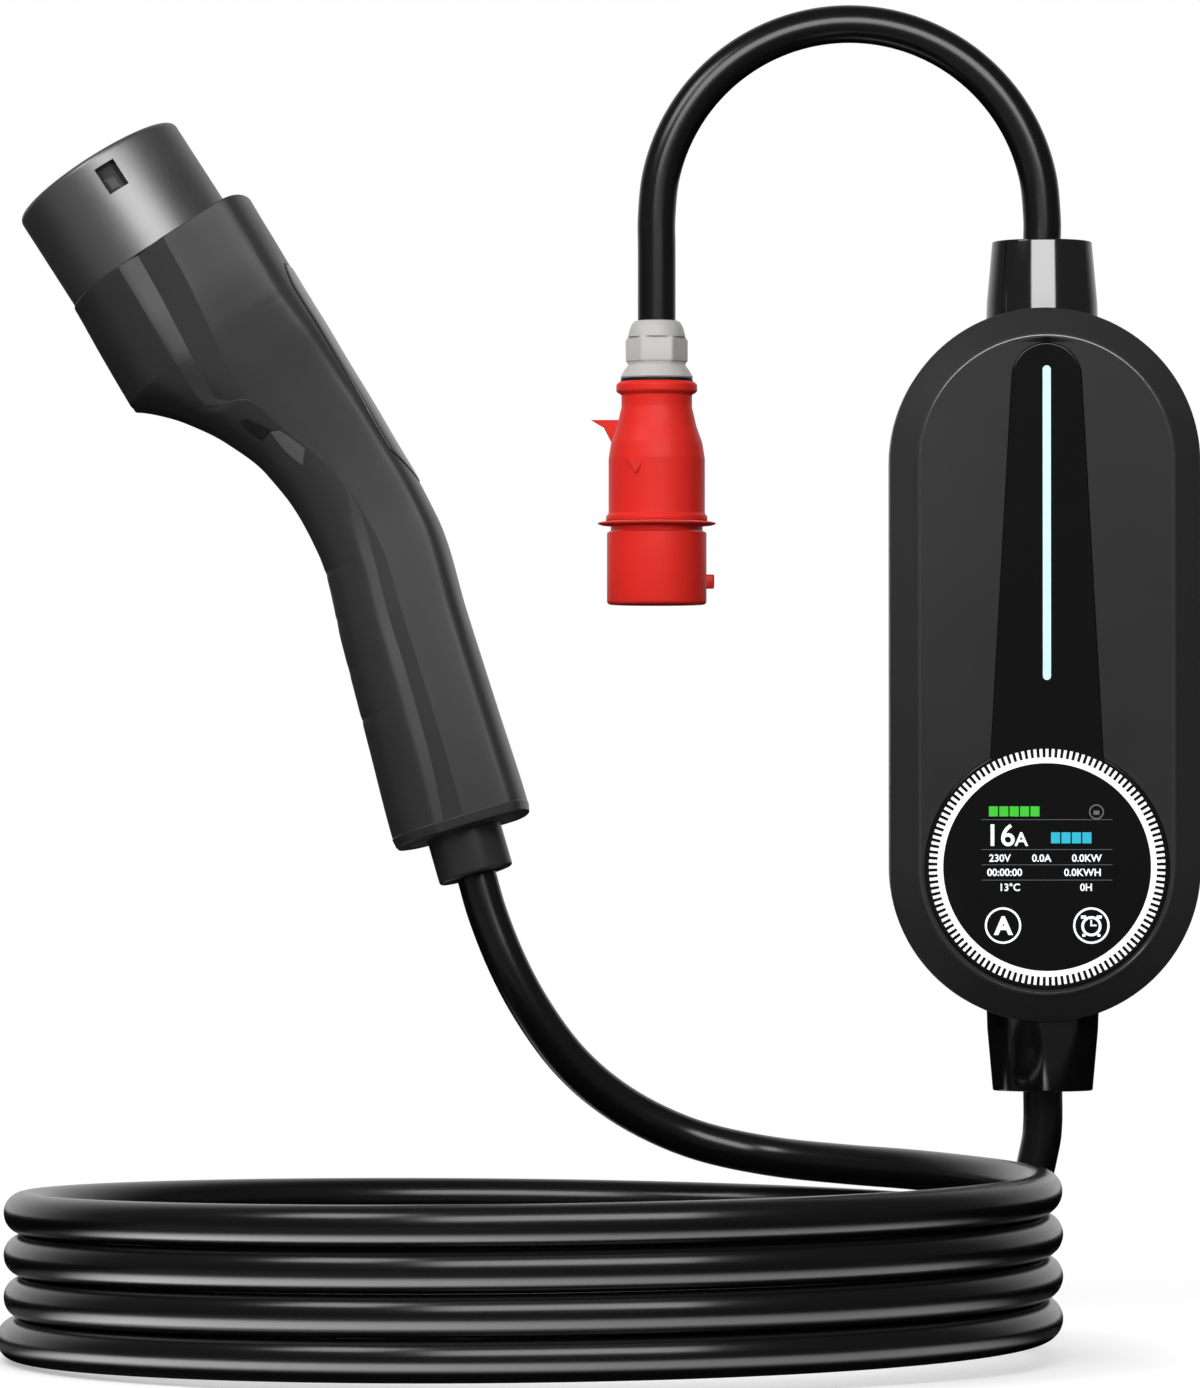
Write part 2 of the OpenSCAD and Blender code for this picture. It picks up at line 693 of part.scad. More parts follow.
module leakage_sensor() {
    color([0.12, 0.12, 0.12]) on_board(sensor_at[0], sensor_at[1])
        translate([0, sensor_t / 2, sensor_r]) rotate([90, 0, 0])
            tube_between(sensor_r, sensor_r - sensor_rim, 0, sensor_t);
}

module supply_module() {
    color([0.75, 0.65, 0.2]) on_board(module_at[0], module_at[1])
        translate([-module_size[0] / 2, -module_size[1] / 2, 0]) cube(module_size);
}

module capacitors() {
    color([0.2, 0.2, 0.45]) for (y = capacitor_rows) on_board(capacitor_x, y)
        cylinder(h = capacitor_h, r = capacitor_r);
}

module terminal_blocks() {
    way_len = terminal_size[1] / 2 + overlap;
    color([0.2, 0.5, 0.3]) for (end = [-1, 1]) on_board(0, end * (power_h / 2 - terminal_in)) difference() {
        translate([-terminal_size[0] / 2, -terminal_size[1] / 2, 0]) cube(terminal_size);
        for (i = [0:way_count - 1]) translate([(i - (way_count - 1) / 2) * terminal_size[0] / way_count,
            end * way_len, terminal_size[2] / 2])
            rotate([90, 0, 0]) translate([0, 0, end > 0 ? 0 : -way_len]) cylinder(h = way_len, r = way_r);
    }
}

// A boot that seats on the round end of the box, with a neck through the wall and a flange inside
module gland(cable_d) {
    out = half_h + gland_len;
    seat = half_h - gland_seat;
    inside = half_h - box_wall - gland_tail;
    base_r = gland_base_r + (gland_base_r - gland_end_r) / gland_len * (half_h - seat);
    difference() {
        union() {
            difference() {
                translate([0, 0, gland_y]) rotate([-90, 0, 0]) translate([0, 0, seat])
                    cylinder(h = out - seat, r1 = base_r, r2 = gland_end_r);
                oblong() polygon([[0, 0], [box_r - back_draft + fit, 0], [box_r + fit, back_d],
                    [box_r + fit, box_d], [0, box_d]]);
            }
            translate([0, 0, gland_y]) rotate([-90, 0, 0]) translate([0, 0, inside]) {
                cylinder(h = out - inside - gland_len / 2, r = gland_neck_r);
                cylinder(h = gland_flange_t, r = gland_neck_r + gland_flange);
            }
        }
        translate([0, 0, gland_y]) rotate([-90, 0, 0]) {
            translate([0, 0, inside - overlap]) cylinder(h = out, r = core_r);
            translate([0, 0, out - cable_socket]) cylinder(h = cable_socket + overlap, r = cable_d / 2 + fit);
        }
    }
}
module upper_gland() color([0.12, 0.12, 0.12]) box_place() gland(supply_d);
module lower_gland() color([0.12, 0.12, 0.12]) box_place() rotate([0, 0, 180]) gland(lead_d);

module gun_nose() {
    floor_x = nose_len - nose_floor;
    color([0.3, 0.3, 0.31]) gun_place() difference() {
        nose_axis(0) union() {
            cylinder(h = nose_len, r = nose_r);
            cylinder(h = front_x, r = nose_r - nose_step);
            cylinder(h = front_x + nose_tail, r = nose_tail_r);
        }
        nose_axis(-overlap) cylinder(h = floor_x + overlap, r = nose_r - nose_wall);
        nose_axis(0) cylinder(h = front_x + nose_tail, r = insert_r + fit);
        nose_axis(insert_back - fit) cylinder(h = front_x + nose_tail, r = insert_r + insert_flange + fit);
        for (side = [-1, 1])
            translate([lock_x - lock_len / 2, lock_y - lock_w / 2, side * nose_r - lock_depth])
                cube([lock_len, lock_w, 2 * lock_depth]);
    }
}

module gun_insert() {
    color([0.16, 0.16, 0.17]) gun_place() difference() {
        union() {
            nose_axis(insert_drop) cylinder(h = insert_back + insert_tail - insert_drop, r = insert_r);
            nose_axis(insert_back) cylinder(h = insert_flange_t, r = insert_r + insert_flange);
        }
        nose_axis(0) {
            for (p = power_contacts) translate([p[0], p[1], 0]) cylinder(h = front_x + nose_tail, r = power_r);
            for (p = signal_contacts) translate([p[0], p[1], 0]) cylinder(h = front_x + nose_tail, r = signal_r);
        }
    }
}

module gun_contacts() {
    low = insert_drop + contact_drop;
    high = insert_back + insert_tail + contact_tail;
    color([0.8, 0.8, 0.78]) gun_place() nose_axis(0) {
        for (p = power_contacts) translate([p[0], p[1], 0])
            tube_between(power_r - fit, power_r - contact_wall, low, high);
        for (p = signal_contacts) translate([p[0], p[1], 0])
            tube_between(signal_r - fit, signal_r - contact_wall, low, high);
    }
}

// Section outline drawn in the plane across the nose: x to the viewer, y to the thumb
section_half = concat(lower_half, [for (i = [1:upper_last]) upper_half[i]]);
section_path = concat(section_half, [for (i = [len(section_half) - 2:-1:1]) mirrored(section_half[i])]);
function section_outline(x, inset) = let(
    deep = station_value(x, 3) - 2 * inset,
    wide = station_value(x, 4) / 2 - inset)
    [for (p = section_path) [wide * p[1], deep * p[0]]];
module section_shape(x, inset) polygon(section_outline(x, inset));

module gun_front_ring() {
    color([0.28, 0.28, 0.29]) gun_place() difference() {
        translate([0, station_value(0, 1), 0]) nose_axis(nose_len)
            linear_extrude(front_ring_t) section_shape(0, 0);
        nose_axis(nose_len - overlap) cylinder(h = front_ring_t + 2 * overlap, r = nose_r - nose_step + fit);
    }
}

// Stations of the two shells and of the thumb cover
shell_even = [for (i = [0:gun_rings]) grip_end_x * i / gun_rings];
thumb_steps = 10;
thumb_stations = [for (i = [0:thumb_steps]) thumb_start + (thumb_end - thumb_start) * i / thumb_steps];
thumb_path = [for (i = [thumb_from:thumb_to]) upper_path[i]];

module gun_upper_shell() {
    color([0.28, 0.28, 0.29]) gun_place() {
        difference() {
            moulded_wall(shell_even, upper_path, 0, gun_wall);
            moulded_wall(thumb_stations, thumb_path, -overlap, thumb_t + overlap);
        }
        for (x = gun_screw_stations) gun_post(x);
    }
}

module gun_post(x) {
    top = grip_axis_point(x, station_value(x, 3) / 2 - gun_wall / 2);
    translate(top) rotate([0, 0, -station_value(x, 2)]) rotate([90, 0, 0]) difference() {
        cylinder(h = station_value(x, 3) - 2 * gun_wall - gun_post_gap, r = gun_post_r);
        translate([0, 0, station_value(x, 3) / 2])
            cylinder(h = station_value(x, 3) / 2, r = gun_screw_r + fit);
    }
}

module gun_lower_shell() {
    color([0.16, 0.16, 0.17]) gun_place() difference() {
        moulded_wall(shell_even, lower_path, 0, gun_wall);
        for (x = gun_screw_stations) gun_screw(x, fit);
    }
}

// A screw from the finger side into its post
module gun_screw(x, grow) {
    translate(grip_axis_point(x, -station_value(x, 3) / 2)) rotate([0, 0, -station_value(x, 2)])
        rotate([-90, 0, 0]) {
            translate([0, 0, grow > 0 ? -overlap : gun_screw_sink])
                cylinder(h = grow > 0 ? gun_screw_sink + gun_screw_head_t + overlap : gun_screw_head_t,
                    r = gun_screw_head_r + grow);
            translate([0, 0, gun_screw_sink]) cylinder(h = gun_screw_len, r = gun_screw_r + grow);
        }
}

module gun_screws() {
    color([0.6, 0.6, 0.62]) gun_place() for (x = gun_screw_stations) gun_screw(x, 0);
}

module gun_thumb_cover() {
    inner = [for (i = [1:thumb_steps - 1]) thumb_stations[i]];
    cover = concat([thumb_start + thumb_gap], inner, [thumb_end - thumb_gap]);
    last = len(thumb_path) - 1;
    path = [for (i = [0:last]) i == 0 ? drawn_in(thumb_path, 0, 1)
        : i == last ? drawn_in(thumb_path, last, -1) : thumb_path[i]];
    color([0.32, 0.32, 0.33]) gun_place() moulded_wall(cover, path, 0, thumb_t - fit);
}

module gun_end_cap() {
    rows = [[seat_gap, 0], [cap_edge, 0], [end_cap_t, cap_slope]];
    n = len(section_path);
    last = (len(rows) - 1) * n;
    rings = [for (row = rows) each [for (p = section_outline(grip_end_x, row[1])) [p[0], p[1], row[0]]]];
    middles = [[0, 0, seat_gap], [0, 0, end_cap_t]];
    ends = [for (k = [0:n - 1]) each
        [[last + n, (k + 1) % n, k], [last + n + 1, last + k, last + (k + 1) % n]]];
    color([0.26, 0.26, 0.27]) gun_place() difference() {
        grip_axis(0) polyhedron(concat(rings, middles), concat(ends, skin(len(rows), n)));
        grip_axis(-overlap) cylinder(h = end_cap_t + 2 * overlap, r = relief_r + fit);
    }
}

// Collar with a flange behind the end cap
module gun_strain_relief() {
    color([0.18, 0.18, 0.18]) gun_place() difference() {
        grip_axis(-relief_flange_t) union() {
            cylinder(h = exit_run + relief_flange_t, r = relief_r);
            cylinder(h = relief_flange_t - seat_gap, r = relief_r + relief_flange);
        }
        grip_axis(-relief_flange_t - overlap) cylinder(h = exit_run + relief_flange_t, r = core_r);
        grip_axis(exit_run - cable_socket) cylinder(h = cable_socket + overlap, r = lead_d / 2 + fit);
    }
}

// Two halves that grip the cores behind the strain relief
module gun_cable_clamp() {
    color([0.7, 0.7, 0.68]) gun_place() for (side = [-1, 1])
        grip_axis(-relief_flange_t - clamp_len) translate([side * (core_r + clamp_t / 2), 0, clamp_len / 2])
            cube([clamp_t, clamp_w, clamp_len], center = true);
}

module plug_gland_nut() {
    low = nut_top - nut_h;
    color([0.85, 0.85, 0.85]) plug_place(0) difference() {
        union() {
            translate([0, 0, low]) cylinder(h = nut_h, r = nut_collar_r);
            translate([0, 0, low + nut_flare_h]) cylinder(h = nut_h - nut_collar_h - nut_flare_h,
                r = nut_hex_r, $fn = 6);
            translate([0, 0, low]) cylinder(h = nut_flare_h + overlap, r1 = nut_flare_r, r2 = nut_waist_r);
        }
        translate([0, 0, low - overlap]) cylinder(h = nut_h, r = core_r);
        translate([0, 0, nut_top - cable_socket]) cylinder(h = cable_socket + overlap, r = supply_d / 2 + fit);
    }
}

module plug_gland_seal() {
    color([0.05, 0.05, 0.05]) plug_place(plug_top) tube_between(seal_r, core_r, 0, seal_h);
}

module plug_body() {
    inner = plug_r - plug_wall;
    neck_in = plug_neck_r - plug_wall;
    neck_y = plug_len - neck_drop;
    shoulder_y = plug_len - shoulder_drop;
    roof_y = plug_len - roof_t;
    fin_in = plug_neck_r - plug_wall / 2;
    color([0.9, 0.2, 0.16]) plug_place(plug_foot) {
        rotate_extrude() polygon([[inner, seat_gap], [plug_r, seat_gap], [plug_r, shoulder_y],
            [plug_r - shoulder_in, shoulder_y + shoulder_h], [plug_neck_r + neck_flare, neck_y - neck_h],
            [plug_neck_r, neck_y], [plug_neck_r, plug_len - bead_edge - bead_h], [bead_r, plug_len - bead_h],
            [bead_r, plug_len - bead_edge], [bead_r - bead_edge, plug_len], [core_r, plug_len],
            [core_r, roof_y], [neck_in, roof_y - bead_edge], [neck_in, neck_y], [inner, shoulder_y]]);
        translate([0, fin_t / 2, plug_len - fin_drop]) rotate([90, 0, 0]) linear_extrude(fin_t)
            polygon([[-fin_reach, 0], [-fin_in, 0], [-fin_in, -fin_h], [-plug_neck_r - fin_root, -fin_h],
                [-fin_reach + fin_tip_w, -fin_tip_h]]);
        translate([arrow_x, -arrow_out, plug_len - arrow_drop]) rotate([-90, 0, 0]) linear_extrude(plug_wall)
            polygon([[-arrow_w / 2, 0], [arrow_w / 2, 0], [0, arrow_h]]);
    }
}

module plug_sleeve() {
    low = -sleeve_len;
    groove_y = -flange_t - groove_h;
    inner = sleeve_r - plug_wall;
    color([0.9, 0.2, 0.16]) plug_place(plug_foot) {
        rotate_extrude() polygon([[inner, low], [sleeve_r - sleeve_edge, low], [sleeve_r, low + sleeve_edge],
            [sleeve_r, groove_y - groove_depth], [sleeve_r - groove_depth, groove_y],
            [sleeve_r - groove_depth, -flange_t], [flange_r, -flange_t], [flange_r, 0], [inner, 0]]);
        translate([sleeve_r - plug_wall / 2, -key_w / 2, low + key_up])
            cube([key_reach + plug_wall / 2, key_w, key_h]);
    }
}

// Disc that carries the pins inside the sleeve
module plug_pin_carrier() {
    color([0.12, 0.12, 0.12]) plug_place(plug_foot - carrier_h) difference() {
        cylinder(h = carrier_h, r = sleeve_r - plug_wall - fit);
        plug_pin_set(fit, -overlap, carrier_h + overlap);
    }
}

module plug_pin_set(grow, low, high) {
    for (i = [0:4]) rotate([0, 0, 72 * i]) translate([0, pin_circle_r, low])
        cylinder(h = high - low, r = (i == 0 ? earth_r : pin_r) + grow);
}

module plug_pins() {
    color([0.78, 0.76, 0.7]) plug_place(plug_foot - carrier_h)
        plug_pin_set(0, -pin_len + fit, carrier_h + pin_tail);
}

module gun_lead() {
    start = gun_exit - cable_socket * gun_axis;
    end = [coil_x + coil_r * cos(coil_tilt), coil_y + seat_gap, coil_top_z + coil_r * sin(coil_tilt)];
    color([0.08, 0.08, 0.08])
        cable(concat([start, gun_exit], gun_route, [end]), gun_axis, [0, -1, 0], [1, 0, 1], lead_d);
}

// Section of the coil's stacked turns from one turn to another, with the gaps between them closed
module coil_section(from, to) {
    for (i = [from:to]) translate([coil_r, -i * coil_pitch]) circle(d = lead_d);
    translate([coil_r - coil_core / 2, -to * coil_pitch]) square([coil_core, (to - from) * coil_pitch]);
}

// Turns of the coil: the top and bottom turn are open at the back right, where the cable runs in and out
module cable_coil() {
    color([0.08, 0.08, 0.08]) translate([coil_x, coil_y, coil_top_z]) rotate([0, -coil_tilt, 0]) {
        rotate([0, 0, 90]) rotate_extrude(angle = 270) coil_section(0, coil_turns - 1);
        rotate_extrude(angle = 90) coil_section(1, coil_turns - 2);
    }
}

module box_lead() {
    out = -half_h - gland_len;
    drop = (coil_turns - 1) * coil_pitch;
    end = [coil_x + drop * sin(coil_tilt) + seat_gap, coil_y + coil_r, coil_top_z - drop * cos(coil_tilt)];
    color([0.08, 0.08, 0.08])
        cable(concat([[0, -gland_y, out + cable_socket], [0, -gland_y, out]], box_route, [end]),
            [0, 0, -1], [-cos(coil_tilt), 0, -sin(coil_tilt)], [0, 1, 0], lead_d);
}

module supply_lead() {
    out = half_h + gland_len;
    route = concat([[0, out - cable_socket], [0, out]], supply_route,
        [[plug_x, nut_top], [plug_x, nut_top - cable_socket]]);
    color([0.08, 0.08, 0.08]) cable([for (p = route) [p[0], -gland_y, p[1]]],
        [0, 0, 1], [0, 0, -1], [0, 1, 0], supply_d);
}

box_back_shell();
box_front_cover();
box_gasket();
box_screws();
display_panel();
dial_ring();
light_bar();
screen();
touch_pads();
face_board();
board_screws();
power_board();
relays();
leakage_sensor();
supply_module();
capacitors();
terminal_blocks();
upper_gland();
lower_gland();
gun_nose();
gun_insert();
gun_contacts();
gun_front_ring();
gun_upper_shell();
gun_lower_shell();
gun_thumb_cover();
gun_end_cap();
gun_strain_relief();
gun_cable_clamp();
gun_screws();
plug_body();
plug_sleeve();
plug_pin_carrier();
plug_pins();
plug_gland_nut();
plug_gland_seal();
gun_lead();
cable_coil();
box_lead();
supply_lead();
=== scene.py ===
from math import acos, asin, cos, pi, radians, sin, tan
import bpy
import bmesh
import numpy as np
from mathutils import Matrix, Vector


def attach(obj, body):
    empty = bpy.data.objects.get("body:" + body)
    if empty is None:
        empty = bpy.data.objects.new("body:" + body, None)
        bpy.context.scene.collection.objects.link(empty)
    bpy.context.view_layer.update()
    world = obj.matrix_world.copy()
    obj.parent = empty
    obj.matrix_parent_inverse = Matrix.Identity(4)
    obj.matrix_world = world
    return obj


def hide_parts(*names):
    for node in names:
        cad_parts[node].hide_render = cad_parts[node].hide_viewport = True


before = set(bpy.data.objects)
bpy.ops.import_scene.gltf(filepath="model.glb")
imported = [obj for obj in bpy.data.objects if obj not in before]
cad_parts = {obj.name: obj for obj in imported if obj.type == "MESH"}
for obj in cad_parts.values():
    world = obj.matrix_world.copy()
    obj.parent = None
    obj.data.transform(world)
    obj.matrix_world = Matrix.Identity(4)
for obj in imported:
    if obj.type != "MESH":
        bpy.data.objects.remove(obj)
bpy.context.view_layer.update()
scene = bpy.context.scene

# Lengths are in mm in the frame of the CAD part, and become metres in build_piece().
# The camera, the floor and the lamps are in metres.
MM = 0.001
WELD = 0.000001

# Camera: a long lens a little above the floor
camera_data = bpy.data.cameras.new("camera")
camera_data.lens = 209.37
camera_data.sensor_width = 36
camera_data.clip_end = 60
camera = bpy.data.objects.new("camera", camera_data)
camera.location = (-0.13766, -2.53767, -0.04956)
camera.rotation_euler = (radians(90.93), 0, 0)
scene.collection.objects.link(camera)
scene.camera = camera
scene.view_settings.view_transform = "Standard"


def unit(v):
    """Vectors scaled to length one."""
    return v / np.linalg.norm(v, axis=-1, keepdims=True)


def smoothstep(low, high, x):
    """0 below low, 1 above high, and a cubic, level at both ends, between them."""
    f = np.clip((x - low) / (high - low), 0, 1)
    return f * f * (3 - 2 * f)


def rounded(corners, arc_steps=4):
    """Outline through corners (a, b, radius), each an arc that touches both of its sides."""
    runs = []
    for k, (a, b, radius) in enumerate(corners):
        here = np.array([a, b], float)
        if radius == 0 or k in (0, len(corners) - 1):
            runs.append(here[None])
            continue
        before = unit(np.array(corners[k - 1][:2], float) - here)
        after = unit(np.array(corners[k + 1][:2], float) - here)
        half = 0.5 * acos(np.clip(before @ after, -1, 1))
        middle = here + unit(before + after) * radius / sin(half)
        start = here + before * radius / tan(half) - middle
        end = here + after * radius / tan(half) - middle
        turn = pi - 2 * half
        f = np.linspace(0, 1, arc_steps + 1)[:, None]
        runs.append(middle + (np.sin((1 - f) * turn) * start + np.sin(f * turn) * end) / sin(turn))
    return np.concatenate(runs)


def through(points, per_span):
    """Catmull-Rom curve: between two points, the cubic whose slopes are half its neighbours' chords."""
    p = np.asarray(points, float)
    p = np.concatenate([2 * p[:1] - p[1:2], p, 2 * p[-1:] - p[-2:-1]])
    f = (np.arange(per_span) / per_span)[None, :, None]
    a, b, c, d = (p[k:len(p) - 3 + k, None] for k in range(4))
    curve = b + 0.5 * f * (c - a + f * (2 * a - 5 * b + 4 * c - d + f * (3 * (b - c) + d - a)))
    return np.concatenate([curve.reshape(-1, p.shape[1]), p[-2:-1]])


def distances(points):
    """Distance along a line of points at each of them."""
    return np.concatenate([[0], np.cumsum(np.linalg.norm(np.diff(points, axis=0), axis=1))])


def round_angles(sides):
    """Angles in even steps once round."""
    return np.arange(sides) * 2 * pi / sides


def round_points(r, a, z):
    """Points at radius r, angle a and height z about the z axis."""
    return np.stack(np.broadcast_arrays(r * np.cos(a), r * np.sin(a), z), -1)


def turned(profile, sides=96):
    """Profile of (radius, height) rows carried round the z axis."""
    return round_points(profile[:, :1], round_angles(sides), profile[:, 1:2])


def lifted(points, level):
    """Flat points with a level as their third coordinate."""
    return np.concatenate([points, np.full((*points.shape[:-1], 1), level)], -1)


def prism(outline, low, high, edge):
    """Outline of (a, b) points drawn from low to high, its edges taken off, closed by fans."""
    middle = outline.mean(0)
    reach = np.linalg.norm(outline - middle, axis=1, keepdims=True)
    inner = middle + (outline - middle) * (1 - edge / reach)
    rings = [(middle + 0 * outline, low), (inner, low), (outline, low + edge),
             (outline, high - edge), (inner, high), (middle + 0 * outline, high)]
    return np.stack([lifted(ring, level) for ring, level in rings])


def grid_cells(rows, columns, wrap_rows, wrap_columns):
    """Corner numbers of a grid's cells; a side that wraps joins its last line to its first."""
    i = np.arange(rows if wrap_rows else rows - 1)[:, None]
    j = np.arange(columns if wrap_columns else columns - 1)[None, :]
    i_next, j_next = (i + 1) % rows, (j + 1) % columns
    cells = [i * columns + j, i * columns + j_next, i_next * columns + j_next, i_next * columns + j]
    return np.stack(cells, -1).reshape(-1, 4)


LOOKS = {}


def place_piece(name, mesh, look, replaced=(), sharp=38, slot_name=None):
    """Puts a finished mesh with its look on the root body; slot_name is not used."""
    slot_name = slot_name or look
    mesh.shade_smooth()
    mesh.set_sharp_from_angle(angle=radians(sharp))
    mesh.materials.append(LOOKS[look])
    piece = bpy.data.objects.new(name, mesh)
    scene.collection.objects.link(piece)
    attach(piece, "root")
    if replaced:
        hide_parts(*replaced)
    return piece


def write_welded(work, mesh):
    """Writes a working mesh out with doubles merged and normals turned outward."""
    bmesh.ops.remove_doubles(work, verts=work.verts, dist=WELD)
    bmesh.ops.recalc_face_normals(work, faces=work.faces)
    work.to_mesh(mesh)
    work.free()


def build_piece(name, grids, look, replaced=(), sharp=38, slot_name=None, lengths=None):
    """Closed mesh from grids (points, wrap rows, wrap columns).

    lengths gives each row's distance along a cord, which becomes the second UV coordinate."""
    points, cells, count = [], [], 0
    for grid, wrap_rows, wrap_columns in grids:
        rows, columns = grid.shape[:2]
        cells.append(count + grid_cells(rows, columns, wrap_rows, wrap_columns))
        points.append(grid.reshape(-1, 3))
        count += rows * columns
    points = np.concatenate(points) * MM
    cells = np.concatenate(cells)
    mesh = bpy.data.meshes.new(name)
    mesh.vertices.add(len(points))
    mesh.vertices.foreach_set("co", points.ravel())
    mesh.loops.add(cells.size)
    mesh.loops.foreach_set("vertex_index", cells.ravel())
    mesh.polygons.add(len(cells))
    mesh.polygons.foreach_set("loop_start", np.arange(len(cells)) * 4)
    mesh.update(calc_edges=True)
    if lengths is not None:
        columns = grids[0][0].shape[1]
        around = (np.arange(columns)[None, :, None] + np.array([0, 1, 1, 0])) / columns
        ends = np.stack([lengths[:-1], lengths[:-1], lengths[1:], lengths[1:]], -1)[:, None] * MM
        corners = np.stack(np.broadcast_arrays(around, ends), -1)
        mesh.uv_layers.new(name="UVMap").data.foreach_set("uv", corners.ravel())
    work = bmesh.new()
    work.from_mesh(mesh)
    write_welded(work, mesh)
    return place_piece(name, mesh, look, replaced, sharp, slot_name)


# Placing: each takes points drawn flat and gives them in the frame
def in_box(p):
    """Box drawn flat (x across, y up, z to the face)."""
    return np.stack([p[..., 0], -p[..., 2], p[..., 1]], -1)


def box_halves(grid):
    """Grids of one half of the box, drawn flat, and of its mirror image in x."""
    return [(in_box(half), False, False) for half in (grid, grid * np.array([-1, 1, 1]))]


GUN_EXIT = np.array([-175.5, -64, -65])
GUN_EXIT_FLAT = np.array([247.738, -18.825, 0])
GUN_END = np.array([230, -13.57])
GUN_LEAN, GUN_TIP, GRIP_BEND = radians(57.2), radians(5), radians(16.5)


def in_gun(p):
    """Connector drawn flat (x nose to grip, y to the thumb, z to the viewer): tipped, leant and moved."""
    x, y, z = np.moveaxis(p - GUN_EXIT_FLAT, -1, 0)
    x, z = x * cos(GUN_TIP) - z * sin(GUN_TIP), x * sin(GUN_TIP) + z * cos(GUN_TIP)
    x, y = x * cos(GUN_LEAN) + y * sin(GUN_LEAN), y * cos(GUN_LEAN) - x * sin(GUN_LEAN)
    return GUN_EXIT + np.stack([x, -z, y], -1)


def on_nose(p):
    """Pieces turned about the nose: z runs from the nose's mouth to the grip."""
    return in_gun(np.stack([p[..., 2], p[..., 1], -p[..., 0]], -1))


def on_grip(p):
    """Pieces turned about the grip's axis: z runs from the shells' end to the cable."""
    along, across = p[..., 2], p[..., 1]
    x = GUN_END[0] + along * cos(GRIP_BEND) + across * sin(GRIP_BEND)
    y = GUN_END[1] - along * sin(GRIP_BEND) + across * cos(GRIP_BEND)
    return in_gun(np.stack([x, y, -p[..., 0]], -1))


CORD_Y = -26
PLUG_AXIS, GLAND_AXIS = np.array([-120, CORD_Y, 0]), np.array([0, CORD_Y, 0])


def on_plug(p):
    """Plates of the plug drawn flat (x across, y up, z away from the viewer)."""
    return np.stack([p[..., 0], p[..., 2], p[..., 1]], -1) + PLUG_AXIS


# Materials
def linear(*tone):
    """Linear light of a display tone given from 0 to 255."""
    s = np.array(tone, float) / 255
    return np.where(s > 0.04045, ((s + 0.055) / 1.055) ** 2.4, s / 12.92)


def fill(tree, node, values):
    """Fills a node's inputs: a socket is linked, anything else becomes the input's value."""
    for key, value in values.items():
        if isinstance(value, bpy.types.NodeSocket):
            tree.links.new(value, node.inputs[key])
        else:
            node.inputs[key].default_value = value


def add_node(tree, kind, values, **settings):
    """Outputs of a new shader node, with its settings made and its inputs filled."""
    node = tree.nodes.new("ShaderNode" + kind)
    for name, setting in settings.items():
        setattr(node, name, setting)
    fill(tree, node, values)
    return node.outputs


def new_material(name):
    """Adds a look and gives its tree, its shader and its coordinates."""
    LOOKS[name] = bpy.data.materials.new(name)
    LOOKS[name].use_nodes = True
    tree = LOOKS[name].node_tree
    return tree, tree.nodes["Principled BSDF"], add_node(tree, "TexCoord", {})


def add_noise(tree, source, scale, detail=2.0):
    """Noise over a coordinate."""
    return add_node(tree, "TexNoise", {"Scale": scale, "Detail": detail, "Vector": source})["Fac"]


def mix_tones(tree, factor, low, high):
    """Colour between two linear colours."""
    values = {"Factor": factor, "A": (*low, 1), "B": (*high, 1)}
    return add_node(tree, "Mix", values, data_type="RGBA")["Result"]


def ranged(tree, value, low, high, to_low, to_high, course="SMOOTHSTEP"):
    """A value led from one range to another."""
    values = {"Value": value, "From Min": low, "From Max": high, "To Min": to_low, "To Max": to_high}
    return add_node(tree, "MapRange", values, interpolation_type=course)["Result"]


NOISE_LOW, NOISE_HIGH = 0.3, 0.7
CLOUD_SCALE, MARK_CLOUD_SCALE, GRAIN_DEPTH = 38, 220, 0.02


def varied(tree, noise, value, share):
    """A value that noise takes up and down by a share of it."""
    return ranged(tree, noise, NOISE_LOW, NOISE_HIGH, value * (1 - share), value * (1 + share), "LINEAR")


def moulded(name, tone, roughness, spread=0.06, grain=2600, strength=0.25, ior=1.45, metal=0.0, edge=0.0,
            shine=0.5):
    """Moulded surface: cloudy tone and gloss, fine grain in the shading, and edges softened by a bevel."""
    tree, shader, place = new_material(name)
    colour = linear(*tone)
    cloud = add_noise(tree, place["Object"], CLOUD_SCALE, 3)
    fine = add_noise(tree, place["Object"], grain)
    bump = {"Strength": strength, "Distance": GRAIN_DEPTH * MM, "Height": fine}
    if edge:
        bump["Normal"] = add_node(tree, "Bevel", {"Radius": edge * MM})["Normal"]
    fill(tree, shader, {
        "Base Color": mix_tones(tree, cloud, colour * (1 - spread), colour * (1 + spread)),
        "Roughness": varied(tree, cloud, roughness, 0.1), "IOR": ior, "Specular IOR Level": shine,
        "Metallic": metal, "Normal": add_node(tree, "Bump", bump)["Normal"]})


def lit(name, tone, glow, shade=0.85):
    """Printed or lit mark: its own light varies a little over it."""
    tree, shader, place = new_material(name)
    colour = linear(*tone)
    cloud = add_noise(tree, place["Object"], MARK_CLOUD_SCALE)
    tint = mix_tones(tree, cloud, colour * shade, colour)
    fill(tree, shader, {"Base Color": tint, "Emission Color": tint, "Emission Strength": glow,
                        "Roughness": 0.35})


